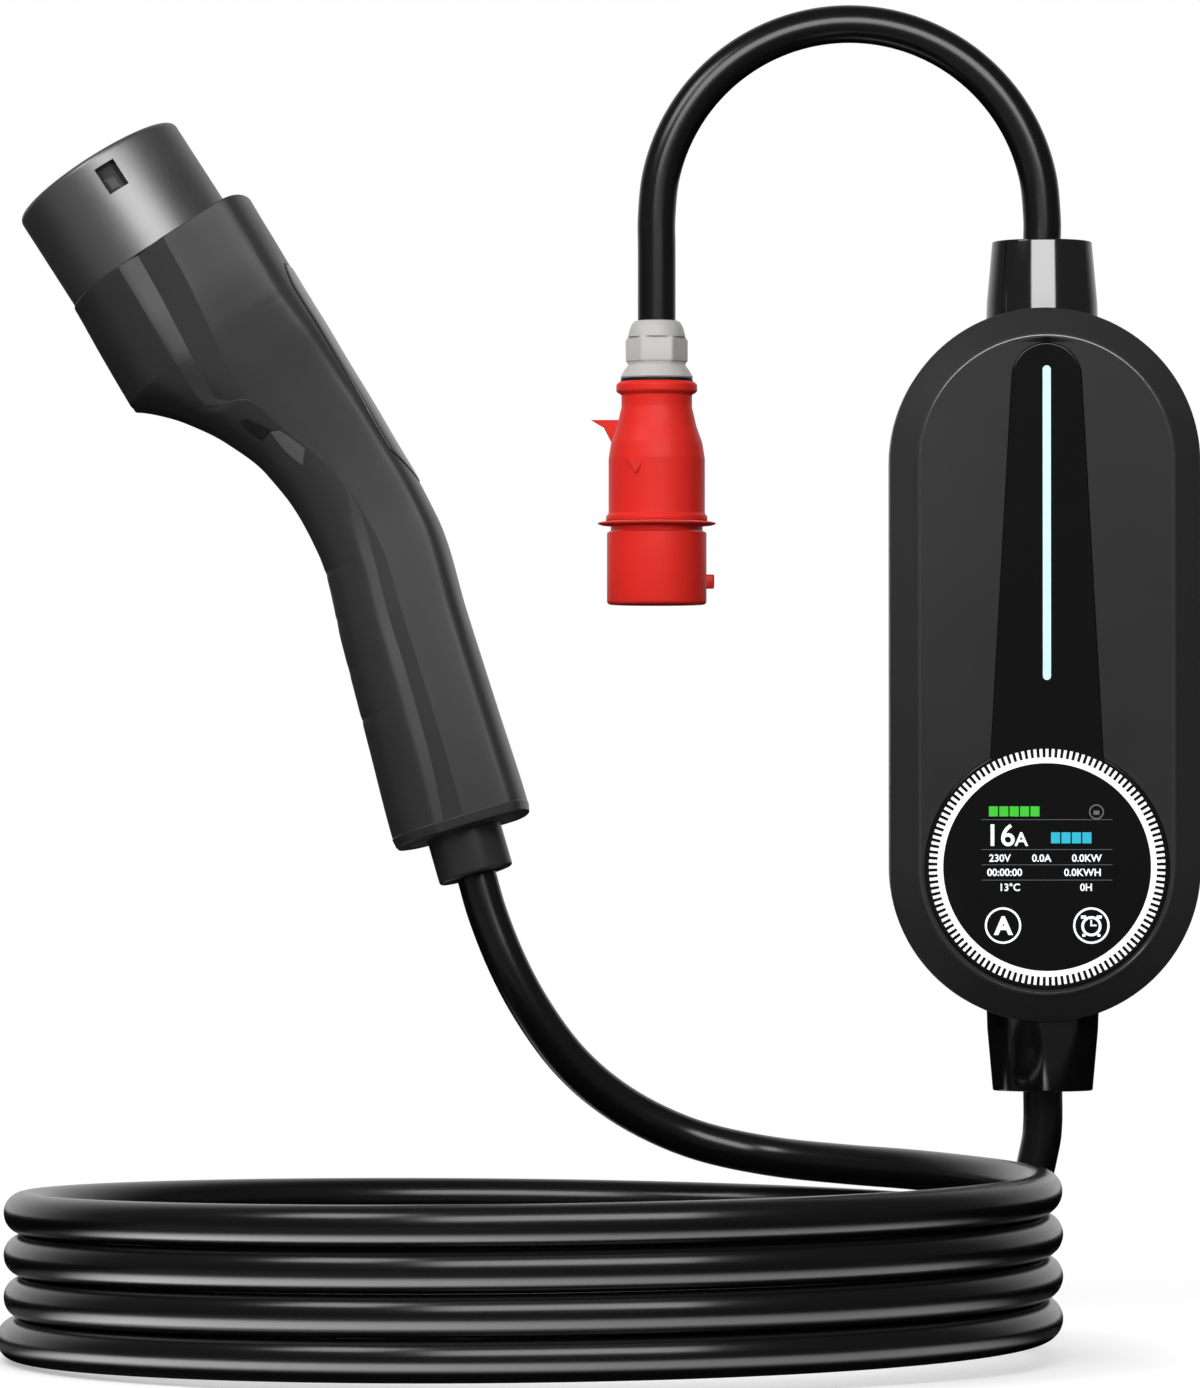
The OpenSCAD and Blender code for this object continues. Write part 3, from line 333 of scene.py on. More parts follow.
def jacketed(name, tone, roughness, ior):
    """Cable jacket: drawn lines along its length, on the cord's UV."""
    tree, shader, place = new_material(name)
    colour = linear(*tone)
    drawn = add_node(tree, "Mapping", {"Scale": (14, 5, 1), "Vector": place["UV"]})["Vector"]
    drawn = add_noise(tree, drawn, 3, 3)
    fill(tree, shader, {"Base Color": mix_tones(tree, drawn, colour * 0.8, colour * 1.2), "IOR": ior,
                        "Roughness": varied(tree, drawn, roughness, 0.06)})


moulded("box_plastic", (48, 48, 49), 0.4, shine=0.25)
moulded("bead_grey", (58, 58, 59), 0.16, strength=0.05, ior=2.0)
moulded("back_plastic", (34, 34, 35), 0.5, edge=0.8)
moulded("seal_rubber", (16, 16, 16), 0.5)
moulded("screw_steel", (170, 170, 174), 0.3, metal=1.0, edge=0.2)
moulded("panel_black", (20, 20, 21), 0.1, grain=300, strength=0.02)
lit("dial_white", (255, 255, 255), 0.45)
lit("light_white", (208, 246, 244), 0.34, 0.96)
moulded("pad_copper", (190, 140, 90), 0.35, metal=1.0)
moulded("board_green", (16, 82, 48), 0.4, spread=0.25)
moulded("relay_blue", (44, 66, 130), 0.4, edge=0.4)
moulded("sensor_black", (28, 28, 30), 0.45, edge=0.4)
moulded("module_yellow", (196, 168, 60), 0.45, edge=0.4)
moulded("capacitor_blue", (44, 46, 104), 0.25, edge=0.5)
moulded("terminal_green", (54, 128, 78), 0.4, edge=0.3)
moulded("gland_rubber", (15, 15, 16), 0.1, strength=0.03, ior=2.2)
moulded("nose_plastic", (50, 50, 51), 0.43, ior=2.85)
# Near-black sheet of painted shade, laid in the lock pockets and in the hollow under the upper shell's edge
moulded("painted_shade_dark", (22, 22, 23), 0.5)
moulded("insert_black", (36, 36, 38), 0.45, edge=0.3)
moulded("contact_silver", (200, 198, 190), 0.25, metal=1.0, edge=0.2)
moulded("grip_grey", (58, 58, 59), 0.36, shine=0.4)
# Lighter grey of the side facets: a painted highlight where the facet catches the light
moulded("facet_painted_highlight", (82, 82, 83), 0.3)
# End cap's grey, lightened as painted light from below on its sloped face
moulded("cap_grey_painted_light", (90, 90, 91), 0.36, shine=0.4)
moulded("thumb_grey", (58, 58, 59), 0.24, strength=0.12, ior=1.5)
moulded("grip_dark", (48, 48, 49), 0.4, shine=0.35)
moulded("relief_rubber", (50, 50, 51), 0.3)
moulded("clamp_plastic", (150, 150, 146), 0.45, edge=0.3)
moulded("plug_red", (212, 40, 32), 0.4, shine=0.25)
moulded("plug_black", (26, 26, 27), 0.45, edge=0.3)
moulded("nut_white", (178, 177, 176), 0.4)
jacketed("cable_black", (13, 13, 14), 0.23, 1.6)
lit("mark_white", (236, 240, 242), 0.8)
lit("mark_green", (60, 190, 50), 0.6)
lit("mark_cyan", (40, 175, 200), 0.6)
lit("mark_grey", (100, 102, 104), 0.5)
lit("mark_dim", (84, 86, 88), 0.6)

KEPT = {
    "box_back_shell": "back_plastic", "box_gasket": "seal_rubber", "box_screws": "screw_steel",
    "touch_pads": "pad_copper", "face_board": "board_green", "board_screws": "screw_steel",
    "power_board": "board_green", "relays": "relay_blue", "leakage_sensor": "sensor_black",
    "supply_module": "module_yellow", "capacitors": "capacitor_blue", "terminal_blocks": "terminal_green",
    "gun_insert": "insert_black", "gun_contacts": "contact_silver", "gun_cable_clamp": "clamp_plastic",
    "gun_screws": "screw_steel", "plug_pin_carrier": "plug_black", "plug_pins": "contact_silver",
}
for node_name, kept_look in KEPT.items():
    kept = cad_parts[node_name]
    kept.data.materials.clear()
    kept.data.materials.append(LOOKS[kept_look])


# Cords
LEAD_R, SUPPLY_R, CORD_SIDES = 6.1, 5.9, 36
# The cable reaches this far back into the collar, against its way out of the grip
GRIP_HIDDEN, GRIP_WAY = 7.5, np.array([0.27869, -0.08357, -0.95674])
COIL_MIDDLE, COIL_R, COIL_PITCH, COIL_TOP = np.array([-157, -182.98]), 148, 12.22, -156.05
# Degrees at which the coil's last turn starts to widen, lies level and ends, and how far it widens
COIL_OPENS, COIL_LEVEL, COIL_LAST, COIL_WIDEN = 1215, 1260, 1350, 9
GUN_ROUTE = [[-172, -65, -77], [-166, -66, -92], [-158.5, -65.5, -106], [-148.5, -63, -120],
             [-137, -59.5, -131], [-123, -55.5, -140], [-106, -52.5, -147], [-85, -56, -151.3],
             [-63, -70.5, -153.1], [-44, -88, -153.9], [-29, -109, -154.7], [-17.5, -133, -155.3],
             [-11, -158, -155.8]]
BOX_ROUTE = [[-130, -27, -198.8], [-104, -28, -198], [-78, -27, -196.6], [-52, -26, -195.4],
             [-32, -26, -191.5], [-15.5, -26, -180.5], [-5, -26, -164], [-1, -26, -150], [0, -26, -142],
             [0, -26, -132], [0, -26, -125]]
ARCH_R, ARCH_Z, ARCH_TURN = 60, 140, np.radians(np.arange(0, 181, 12))
SUPPLY_ROUTE = np.concatenate([
    [[0, 125], [0, 132]],
    np.stack([ARCH_R * np.cos(ARCH_TURN) - ARCH_R, ARCH_R * np.sin(ARCH_TURN) + ARCH_Z], -1),
    [[-120, 130], [-120, 120], [-120, 110], [-120, 100.5]]])


def coil_turns():
    """Falling turns: radius and height follow the angle, and the last quarter lies level and widens."""
    angle = np.arange(0, COIL_LAST + 1, 15.0)
    radius = COIL_R + COIL_WIDEN * smoothstep(COIL_OPENS, COIL_LAST, angle)
    height = COIL_TOP - COIL_PITCH * np.minimum(angle, COIL_LEVEL) / 360
    turn = np.radians(angle)
    x, y = COIL_MIDDLE[0] + radius * np.cos(turn), COIL_MIDDLE[1] - radius * np.sin(turn)
    return np.stack([x, y, height], -1)


def tube(path, radius, sides):
    """Circle of one radius carried along a path in frames that turn only as the path does,
    drawn to a point at its ends."""
    way = unit(np.gradient(path, axis=0))
    side = np.empty_like(path)
    side[0] = unit(np.cross(way[0], [0.0, 1.0, 0.3]))
    for k in range(1, len(path)):
        side[k] = unit(side[k - 1] - way[k] * (side[k - 1] @ way[k]))
    a = round_angles(sides)[:, None]
    skin = path[:, None] + radius * (side[:, None] * np.cos(a) + np.cross(way, side)[:, None] * np.sin(a))
    ends = [np.repeat(path[k, None, None], sides, 1) for k in (0, -1)]
    return np.concatenate([ends[0], skin, ends[1]])


def build_cord(name, route, per_span, radius, replaced):
    """Cord mesh along the curve through a route, with its distance along the cord as UV."""
    path = through(route, per_span)
    lengths = distances(path)
    rows = np.concatenate([[0], lengths, lengths[-1:]])
    skin = (tube(path, radius, CORD_SIDES), False, True)
    return build_piece(name, [skin], "cable_black", replaced, lengths=rows), lengths[-1] * MM


charging_route = np.concatenate([[GUN_EXIT - GRIP_HIDDEN * GRIP_WAY, GUN_EXIT], GUN_ROUTE, coil_turns(),
                                 BOX_ROUTE])
charging_cable, charging_length = build_cord(
    "charging_cable", charging_route, 5, LEAD_R, ["gun_lead", "cable_coil", "box_lead"])

supply_route = np.insert(SUPPLY_ROUTE, 1, CORD_Y, axis=1)
supply_cable, supply_length = build_cord("supply_cable", supply_route, 6, SUPPLY_R, ["supply_lead"])


# Control box: distances from its middle line, then heights over its back
BOX_R, BOX_INSIDE_R, SLOPE_R, FACE_R = 48, 45, 39, 38.3
BACK_D, SLOPE_D, INSIDE_D, RECESS_D, BOX_FACE = 30, 44, 48, 50, 52
# Middle of the round ends, over and under the middle of the box; the lower one is also the dial's
BOX_END = 62.5
PANEL_TOP, PANEL_R, PANEL_FOOT, DIAL_R = 88.4, 10.9, 19.4, 37.8
PANEL_LEAN = asin((PANEL_FOOT - PANEL_R) / (PANEL_TOP + BOX_END))


def keyhole_half(y):
    """Half width of the panel at height y: round top, leaning sides, dial, and nothing beyond them."""
    top = np.sqrt(np.maximum(PANEL_R ** 2 - (y - PANEL_TOP) ** 2, 0))
    side = (PANEL_FOOT - (y + BOX_END) * sin(PANEL_LEAN)) / cos(PANEL_LEAN)
    dial = np.sqrt(np.maximum(DIAL_R ** 2 - (y + BOX_END) ** 2, 0))
    meet = PANEL_LEAN + acos(PANEL_FOOT / DIAL_R)
    half = np.where(y > PANEL_TOP + PANEL_R * sin(PANEL_LEAN), top, side)
    return np.where(y < -BOX_END + DIAL_R * sin(meet), dial, half)


def keyhole_outline(inset):
    """Right half of the panel's outline from top to bottom, drawn in by inset."""
    top, dial, foot = PANEL_R - inset, DIAL_R - inset, PANEL_FOOT - inset
    meet = PANEL_LEAN + acos(foot / dial)
    a = np.linspace(pi / 2, PANEL_LEAN, 16)
    b = np.linspace(meet, -pi / 2, 60)
    upper = np.stack([top * np.cos(a), PANEL_TOP + top * np.sin(a)], -1)
    lower = np.stack([dial * np.cos(b), -BOX_END + dial * np.sin(b)], -1)
    outline = np.concatenate([upper, lower])
    outline[[0, -1], 0] = 0
    return outline


def box_levels():
    """Heights at which both the box's round ends and the panel's outline have points."""
    ends = BOX_END + FACE_R * np.sin(np.linspace(0, pi / 2, 40))
    panel = keyhole_outline(0)[:, 1]
    steps = np.concatenate([ends, -ends, panel, np.linspace(-BOX_END, BOX_END, 12)])
    return np.unique(np.round(steps, 4))


def oblong_rows(profile, levels):
    """Profile of (distance from the middle line, height) carried round the right half of the box."""
    over = np.clip((np.abs(levels) - BOX_END) / FACE_R, 0, 1)
    rise = np.sign(levels) * over
    level = np.clip(levels, -BOX_END, BOX_END)
    rho, z = profile[:, :1], profile[:, 1:2]
    return np.stack([rho * np.sqrt(1 - over ** 2), level + rho * rise, z + 0 * level], -1)


def build_front_cover():
    """Cover: wall, slope and face rounded into one another, the panel's recess, and the inside."""
    levels = box_levels()
    outside = rounded([(BOX_INSIDE_R, BACK_D, 0), (BOX_R, BACK_D, 0.4), (BOX_R, SLOPE_D, 1.2),
                       (SLOPE_R, BOX_FACE, 1.3), (FACE_R, BOX_FACE, 0)], 5)
    inside = np.array([(BOX_INSIDE_R, BACK_D), (BOX_INSIDE_R, SLOPE_D - 1), (SLOPE_R - 1, INSIDE_D),
                       (SLOPE_R - 3, INSIDE_D)])
    half = keyhole_half(levels)
    recess = [(half, BOX_FACE), (half, RECESS_D), (0 * half, RECESS_D)]
    flat = np.stack([lifted(np.stack([edge, levels], -1), depth) for edge, depth in recess])
    front = np.concatenate([oblong_rows(outside, levels), flat])
    behind = oblong_rows(inside, levels)
    behind = np.concatenate([behind, behind[-1:] * np.array([0, 1, 1])])
    grids = box_halves(front) + box_halves(behind)
    build_piece("front_cover", grids, "box_plastic", ["box_front_cover"], 30)


def build_face_bead():
    """Polished bead where the slope meets the face, carried round the box's outline."""
    profile = rounded([(38.6, 51.7, 0), (38.55, 51.98, 0), (38.75, 52.1, 0.05), (39.15, 52.06, 0.2),
                       (39.85, 51.45, 0.1), (39.75, 51.2, 0)], 3)
    rows = oblong_rows(np.concatenate([profile, profile[:1]]), box_levels())
    build_piece("face_bead", box_halves(rows), "bead_grey", sharp=40, slot_name="box_plastic")


def build_face_glass():
    """Glass: the panel's outline with its edge rounded off, closed to its middle line."""
    rows = [(0.15, 50.05), (0.15, 51.6), (0.22, 51.78), (0.4, 51.88), (0.6, 51.9)]
    rings = [lifted(keyhole_outline(inset), level) for inset, level in rows]
    closed = [rings[0] * np.array([0, 1, 1])] + rings + [rings[-1] * np.array([0, 1, 1])]
    build_piece("face_glass", box_halves(np.stack(closed)), "panel_black", ["display_panel", "screen"], 25)


MARK_LOW, MARK_HIGH, LETTER_D = 51.86, 51.95, 51.91


def raised(rings):
    """Flat marks of equal corner count raised over the glass, each closed by a fan to its own middle."""
    middle = np.repeat(rings.mean(1, keepdims=True), rings.shape[1], 1)
    rows = [(middle, MARK_LOW), (rings, MARK_LOW), (rings, MARK_HIGH), (middle, MARK_HIGH)]
    marks = np.stack([lifted(points, level) for points, level in rows], 1)
    return [(in_box(mark), False, True) for mark in marks]


def bars(boxes):
    """Upright boxes (x from, x to, up from, up to) over the dial's middle."""
    x0, x1, low, high = np.array(boxes, float).T
    corners = [(x0, low), (x1, low), (x1, high), (x0, high)]
    return raised(np.stack([np.stack([x, up - BOX_END], -1) for x, up in corners], 1))


def blocks(low_x, high_x, low, high, count):
    """A label as a row of plain boxes."""
    pitch = (high_x - low_x) / count
    return bars([(low_x + k * pitch, low_x + (k + 0.86) * pitch, low, high) for k in range(count)])


def hoop(x, up, radius, width, sides=64):
    """Round line over the dial's middle."""
    line = turned(np.array([(radius - width, MARK_LOW), (radius, MARK_LOW), (radius, MARK_HIGH),
                            (radius - width, MARK_HIGH)]), sides)
    return (in_box(line + np.array([x, up - BOX_END, 0])), True, True)


BAND_R, BAND_W, TICK_FROM, TICK_TO, TICKS = 33.8, 1.8, 33.75, 36.4, 120


def build_dial():
    """White band round the dial, and ticks that each take half of their pitch."""
    a = round_angles(TICKS)[:, None] + np.array([-1, 1, 1, -1]) * pi / (2 * TICKS)
    r = np.array([TICK_FROM, TICK_FROM, TICK_TO, TICK_TO])
    ticks = np.stack([r * np.sin(a), r * np.cos(a) - BOX_END], -1)
    band = hoop(0, 0, BAND_R, BAND_W, 2 * TICKS)
    build_piece("dial_ring_mark", [band] + raised(ticks), "dial_white", ["dial_ring"])


BAR_R, BAR_TOP, BAR_FOOT = 1.25, 92.1, -4.9


def build_light_bar():
    """Lit bar with round ends."""
    a = np.linspace(0, pi, 13)
    top = np.stack([BAR_R * np.cos(a), BAR_TOP - BAR_R + BAR_R * np.sin(a)], -1)
    low = np.stack([-BAR_R * np.cos(a), BAR_FOOT + BAR_R - BAR_R * np.sin(a)], -1)
    ring = np.concatenate([top, low])[None]
    build_piece("light_bar_lens", raised(ring), "light_white", ["light_bar"])


TYPE_PER_CAPITAL, LETTER_HALF = 1.37, 0.04


def build_lettering(name, lines):
    """Generic readings: lines (words, x, up, height, thickening) set on the glass as thin solids."""
    work = bmesh.new()
    for words, x, up, height, thick in lines:
        letters = bpy.data.curves.new(name, "FONT")
        letters.body = words
        letters.size = height * TYPE_PER_CAPITAL * MM
        letters.extrude = LETTER_HALF * MM
        letters.offset = thick * MM
        letters.resolution_u = 4
        holder = bpy.data.objects.new(name, letters)
        scene.collection.objects.link(holder)
        mesh = bpy.data.meshes.new_from_object(holder)
        place = Matrix.Translation(Vector((x, -LETTER_D, up - BOX_END)) * MM)
        mesh.transform(place @ Matrix.Rotation(pi / 2, 4, "X"))
        work.from_mesh(mesh)
        bpy.data.objects.remove(holder)
        bpy.data.meshes.remove(mesh)
    mesh = bpy.data.meshes.new(name)
    write_welded(work, mesh)
    place_piece(name, mesh, "mark_white", slot_name="dial_white")


def build_mark(name, grids, look="mark_white"):
    """Mark on the glass."""
    build_piece(name, grids, look, slot_name="dial_white")


# Words, x and height over the dial's middle
READINGS = [("230V", -17.9, 1.7), ("0.0A", -4.7, 1.7), ("0.0KW", 7.6, 1.7), ("00:00:00", -18.5, -2.7),
            ("0.0KWH", 5.2, -2.7), ("13\u00b0C", -14.9, -7.3), ("0H", 10.1, -7.3)]
READING_HEIGHT, READING_THICK = 2.3, 0.06
RULES, RULE_HALF = (14.6, 5.4, 0.7, -4), 0.1
KEY_X, KEY_UP, KEY_R, KEY_LINE = 13.6, -18, 5.6, 0.65
# Hands, bells and feet of the clock: x from, x to, up from, up to
CLOCK_BARS = [(13.3, 13.8, -18.2, -16.2), (13.8, 15.2, -18.2, -17.7), (10.4, 12, -15.9, -14.9),
              (15.2, 16.8, -15.9, -14.9), (10.8, 11.8, -21.4, -20.6), (15.4, 16.4, -21.4, -20.6)]

build_front_cover()
build_face_bead()
build_face_glass()
build_dial()
build_light_bar()
rules = [(-20.2, 20.1, up - RULE_HALF, up + RULE_HALF) for up in RULES]
build_mark("screen_rules", bars(rules), "mark_dim")
build_lettering("screen_readings", [(*reading, READING_HEIGHT, READING_THICK) for reading in READINGS])
build_lettering("screen_current", [("16", -19.2, 6.6, 6.9, 0.1), ("A", -9.9, 6.6, 4.3, 0.1)])
build_mark("screen_state_mark", blocks(-17.9, -1.9, 15.6, 18.7, 5), "mark_green")
build_mark("screen_mode_mark", blocks(1.2, 14.1, 7.3, 10.7, 4), "mark_cyan")
build_mark("screen_lock_mark", [hoop(15.2, 17, 2.3, 0.4)] + bars([(14.3, 16.1, 16.1, 17.4)]), "mark_grey")
build_mark("key_circles", [hoop(side * KEY_X, KEY_UP, KEY_R, KEY_LINE) for side in (-1, 1)])
build_lettering("key_letter", [("A", -16, -20.6, 5.5, 0.3)])
build_mark("key_clock", [hoop(KEY_X, -18.2, 3.1, 0.8)] + bars(CLOCK_BARS))

BOOT_FOOT_R, BOOT_TOP_R, BOOT_FOOT, BOOT_TOP, BOOT_HOLE = 17.4, 15.5, 110.3, 132, 126


def build_gland(name, way, hole_r, node):
    """Boot: a tapering sleeve with its foot on the round end of the box and a hollow for its cable."""
    profile = rounded([(0, BOOT_FOOT, 0), (BOOT_FOOT_R, BOOT_FOOT, 0), (17.2, 113, 0),
                       (BOOT_TOP_R, BOOT_TOP, 0.5), (hole_r + 0.15, BOOT_TOP, 0.7),
                       (hole_r + 0.05, BOOT_HOLE, 0), (0, BOOT_HOLE, 0)], 5)
    grid = turned(profile, 128)
    grid[:2, :, 2] = BOX_END + np.sqrt(BOX_R ** 2 - grid[:2, :, 0] ** 2) - 0.05
    grid[..., 2] *= way
    build_piece(name, [(grid + GLAND_AXIS, False, True)], "gland_rubber", [node])


build_gland("upper_boot", 1, SUPPLY_R, "upper_gland")
build_gland("lower_boot", -1, LEAD_R, "lower_gland")


# Vehicle connector
# Distance behind the front ring, middle, turn in degrees, depth, width
STATIONS = np.array([
    [-3, 3.33, 0, 64, 60], [0, 3.2, 0, 64, 60], [14, 2.6, 0, 64.4, 60], [30, 2, 0, 64.5, 58],
    [32.2, 1.95, 0, 64.5, 57.2], [33.2, 2.6, 0, 63.2, 56.9], [36.6, 4.4, 0, 59.4, 55.6],
    [43.5, 7.3, 0, 53.4, 53], [56.5, 10.8, 1, 45.4, 47], [72.5, 13.2, 4, 39.8, 42],
    [88.5, 13.6, 9, 38, 38.5], [106.5, 12.2, 14.5, 38.4, 36.5], [135.5, 3.61, 16.5, 39.8, 36],
    [165.5, -5.277, 16.5, 41.4, 36.5], [193.5, -13.571, 16.5, 43, 37], [197.82, -14.851, 16.5, 43, 37]])
FINGER_CORNER = STATIONS[4:6, 0]
# Distance behind the front ring, then parting crest, groove and flank edge as distances under the thumb
SEAM_LINES = np.array([
    [-3, 45.5, 38.4, 28.8], [10, 45.5, 38.8, 29.3], [26, 45.5, 39.7, 30.6], [40, 45.5, 40.7, 32.2],
    [46, 45, 40.8, 32.6], [49.5, 39.5, 38, 32.4], [52.2, 33, 32.6, 31.8], [58, 29.9, 29.8, 29.6],
    [64, 28.3, 28.2, 28.1], [69, 26.4, 26.3, 26.2], [74, 24.3, 24.2, 24.1], [80, 22.2, 22.1, 22],
    [88, 20.6, 20.5, 20.4], [93, 20.8, 20.3, 20.1], [97, 22.4, 20.3, 20], [103.6, 24.5, 20.9, 19.6],
    [114, 25.9, 22.5, 19], [127, 26.1, 22.9, 18.7], [141, 26.3, 22.9, 18.5], [168, 27.1, 23.5, 18.7],
    [197.9, 29.2, 26.2, 19.7]])
SEAM_SLOPE, SEAM_GAP, PAIR_HALF = 0.26, 0.08, 0.08
# Distance behind the front ring and the thumb cover's side edge as a share of the depth
THUMB_EDGE = np.array([[-3, 0.482], [22, 0.482], [26, 0.47], [30, 0.462], [60, 0.445], [80, 0.425],
                       [198, 0.425]])
THUMB_FROM, THUMB_TO, THUMB_BED, TONGUE, TONGUE_REACH = 22.0, 96.0, 1.1, 9.5, 18
# Share of the depth from the finger side to the thumb, and of the half width
HALF_OUTLINE = [[-0.5, 0], [-0.5, 0.3], [-0.47, 0.52], [-0.38, 0.8], [-0.22, 0.965], [-0.05, 1], [0.1, 1],
                [0.22, 1], [0.33, 0.993], [0.385, 0.972], [0.415, 0.925], [0.445, 0.82], [0.473, 0.63],
                [0.492, 0.38], [0.5, 0.15], [0.5, 0]]
OUTLINE = through(HALF_OUTLINE, 24)
# Runs are measured round a section of middling depth and half width
OUTLINE_RUN = distances(OUTLINE * np.array([46, 20]))
TOP_RUN = OUTLINE_RUN[-1]
GRIP_LENGTH, GRIP_RUN, SHELL_WALL = 193.5, cos(GRIP_BEND), 3
FRONT_X, NOSE_R, NOSE_LENGTH = 36.5, 28.2, 33.5
# Rows near the shells' ends, and how far the skin draws in at each
FRONT_ROWS, FRONT_IN = np.array([-2.97, -2.85, -2.6, -2.2]), [0.5, 0.2, 0.04, 0]
BACK_ROWS, BACK_IN = np.array([1.0, 1.3, 3.9, 4.2, 4.4]), [0.16, 0, 0.5, 0.9, 1.8]


def monotone(table, x):
    """Monotone cubic through a table's rows: harmonic mean slopes, level at turning points."""
    knots, values = table[:, 0], table[:, 1:]
    rise = np.diff(values, axis=0) / np.diff(knots)[:, None]
    before, after = rise[:-1], rise[1:]
    product = before * after
    total = np.where(product > 0, before + after, 1)
    inner = np.where(product > 0, 2 * product / total, 0)
    slope = np.concatenate([rise[:1], inner, rise[-1:]])
    k = np.clip(np.searchsorted(knots, x, side="right") - 1, 0, len(knots) - 2)
    span = (knots[k + 1] - knots[k])[..., None]
    f = (x - knots[k])[..., None] / span
    g = 1 - f
    return (values[k] * g * g * (1 + 2 * f) + values[k + 1] * f * f * (3 - 2 * f)
            + span * f * g * (slope[k] * g - slope[k + 1] * f))


def run_of(share):
    """Distance along the half outline at a share of the depth."""
    rising = np.maximum.accumulate(OUTLINE[:, 0]) + 0.000001 * np.arange(len(OUTLINE))
    return np.interp(share, rising, OUTLINE_RUN)


def section_points(x, run, inset, sink=0.0):
    """Points of the section at x: the half outline's share of depth and half width, less an inset and
    a sideways sink."""
    middle, turn, depth, width = np.moveaxis(monotone(STATIONS, x), -1, 0)
    turn = np.radians(turn)
    deep = (depth - 2 * inset) * np.interp(run, OUTLINE_RUN, OUTLINE[:, 0])
    wide = np.maximum((width / 2 - inset) * np.interp(run, OUTLINE_RUN, OUTLINE[:, 1]) - sink, 0)
    return np.stack([FRONT_X + x + deep * np.sin(turn), middle + deep * np.cos(turn), wide], -1)


def both_sides(half):
    """A half outline's columns and then their mirror image, back to the first one's."""
    return np.concatenate([half, half[:, -2::-1] * np.array([1, 1, -1])], 1)


def spread(low, high, count):
    """Columns in even steps from one line to just before the next."""
    return low[:, None] + (high - low)[:, None] * np.arange(count) / count


def wall_grids(outer, inner):
    """Outer surface, inner surface and the two ends between them, each mirrored to the far side."""
    outer, inner = both_sides(outer), both_sides(inner)
    loop = np.concatenate([outer, inner[:, ::-1]], 1)
    ends = [np.stack([outer[k], inner[k]]) for k in (0, -1)]
    return [(in_gun(loop), False, True)] + [(in_gun(end), False, False) for end in ends]


def shell_rows(edges):
    """Distances along the body: even steps, close pairs at edges, and the rows of its two ends."""
    even = np.arange(0, 193, 1.6)
    pairs = np.ravel([[edge - PAIR_HALF, edge + PAIR_HALF] for edge in [*edges, *FINGER_CORNER]])
    back = GRIP_LENGTH + GRIP_RUN * np.concatenate([[0], BACK_ROWS])
    return np.unique(np.concatenate([FRONT_ROWS, even, pairs, back]))


def end_inset(x):
    """How far the skin draws in at its ends: a small round in front and a slope behind."""
    back = (x - GRIP_LENGTH) / GRIP_RUN
    return np.interp(x, FRONT_ROWS, FRONT_IN) + np.interp(back, BACK_ROWS, BACK_IN)


def seam_values(x):
    """Runs of crest, groove and flank edge, and how far crest and groove lie in, the groove by the
    slope of its sides."""
    crest, groove, flank = np.moveaxis(monotone(SEAM_LINES, x), -1, 0)
    depth = monotone(STATIONS, x)[:, 2]
    groove_in = SEAM_SLOPE * (groove - flank)
    crest_in = np.maximum(groove_in - SEAM_SLOPE * (crest - groove), 0)
    runs = [run_of(0.5 - line / depth) for line in (crest, groove, flank)]
    return *runs, crest_in, groove_in


def tongue(x, run, edge):
    """Pull of the thumb cover's end to the front away from its middle, fading out beyond its sides."""
    side = (TOP_RUN - run) / (TOP_RUN - edge)
    share = np.where(side < 1, side ** 2, 1 - smoothstep(1, 2.4, side))
    return -TONGUE * share * np.exp(-((x - THUMB_TO) / TONGUE_REACH) ** 2)


def build_upper_shell():
    """Thumb side of the body: a crest at the parting line, a groove over it, the flank, and a bed for
    the cover."""
    x = shell_rows([THUMB_FROM, THUMB_TO])
    crest, groove, flank, crest_in, groove_in = seam_values(x)
    edge = run_of(np.interp(x, *THUMB_EDGE.T))
    top = np.full(len(x), TOP_RUN)
    run = np.concatenate([spread(crest, groove, 6), spread(groove, flank, 7), spread(flank, edge - 0.1, 44),
                          (edge - 0.1)[:, None], spread(edge + 0.1, top, 18), top[:, None]], 1)
    sink = np.zeros(run.shape)
    sink[:, :13] = np.concatenate([spread(crest_in, groove_in, 6), spread(groove_in, 0 * top, 7)], 1)
    across, edge = x[:, None], edge[:, None]
    bed = (run > edge) & (across > THUMB_FROM) & (across < THUMB_TO)
    inset = end_inset(across) + np.where(bed, THUMB_BED, 0)
    inset[:, 0] += SEAM_GAP
    along = across + tongue(across, run, edge)
    inner = section_points(along, run, inset + SHELL_WALL)
    grids = wall_grids(section_points(along, run, inset, sink), inner)
    build_piece("upper_shell", grids, "grip_grey", ["gun_upper_shell"], 13)


RIBS, RIB_DEPTH, RIB_HALF = np.array([113.7, 128.5, 143.2, 158.2]), 0.22, 0.9


def build_lower_shell():
    """Finger side of the body with faint ribs across the grip."""
    x = shell_rows([])
    crest, _, _, crest_in, _ = seam_values(x)
    run = np.concatenate([spread(crest - 0.03, 0 * crest, 44), 0 * crest[:, None]], 1)
    across = x[:, None] + 0 * run
    share = np.interp(run, OUTLINE_RUN, OUTLINE[:, 0])
    ribs = np.exp(-((across[..., None] - RIBS) / RIB_HALF) ** 2).sum(-1)
    inset = end_inset(across) + RIB_DEPTH * ribs * smoothstep(-0.2, -0.3, share)
    inset[:, 0] += SEAM_GAP
    sink = crest_in[:, None] * smoothstep(0.3, 0, np.arange(45) / 44)
    inner = section_points(across, run, inset + SHELL_WALL)
    grids = wall_grids(section_points(across, run, inset, sink), inner)
    build_piece("lower_shell", grids, "grip_dark", ["gun_lower_shell"], 13)


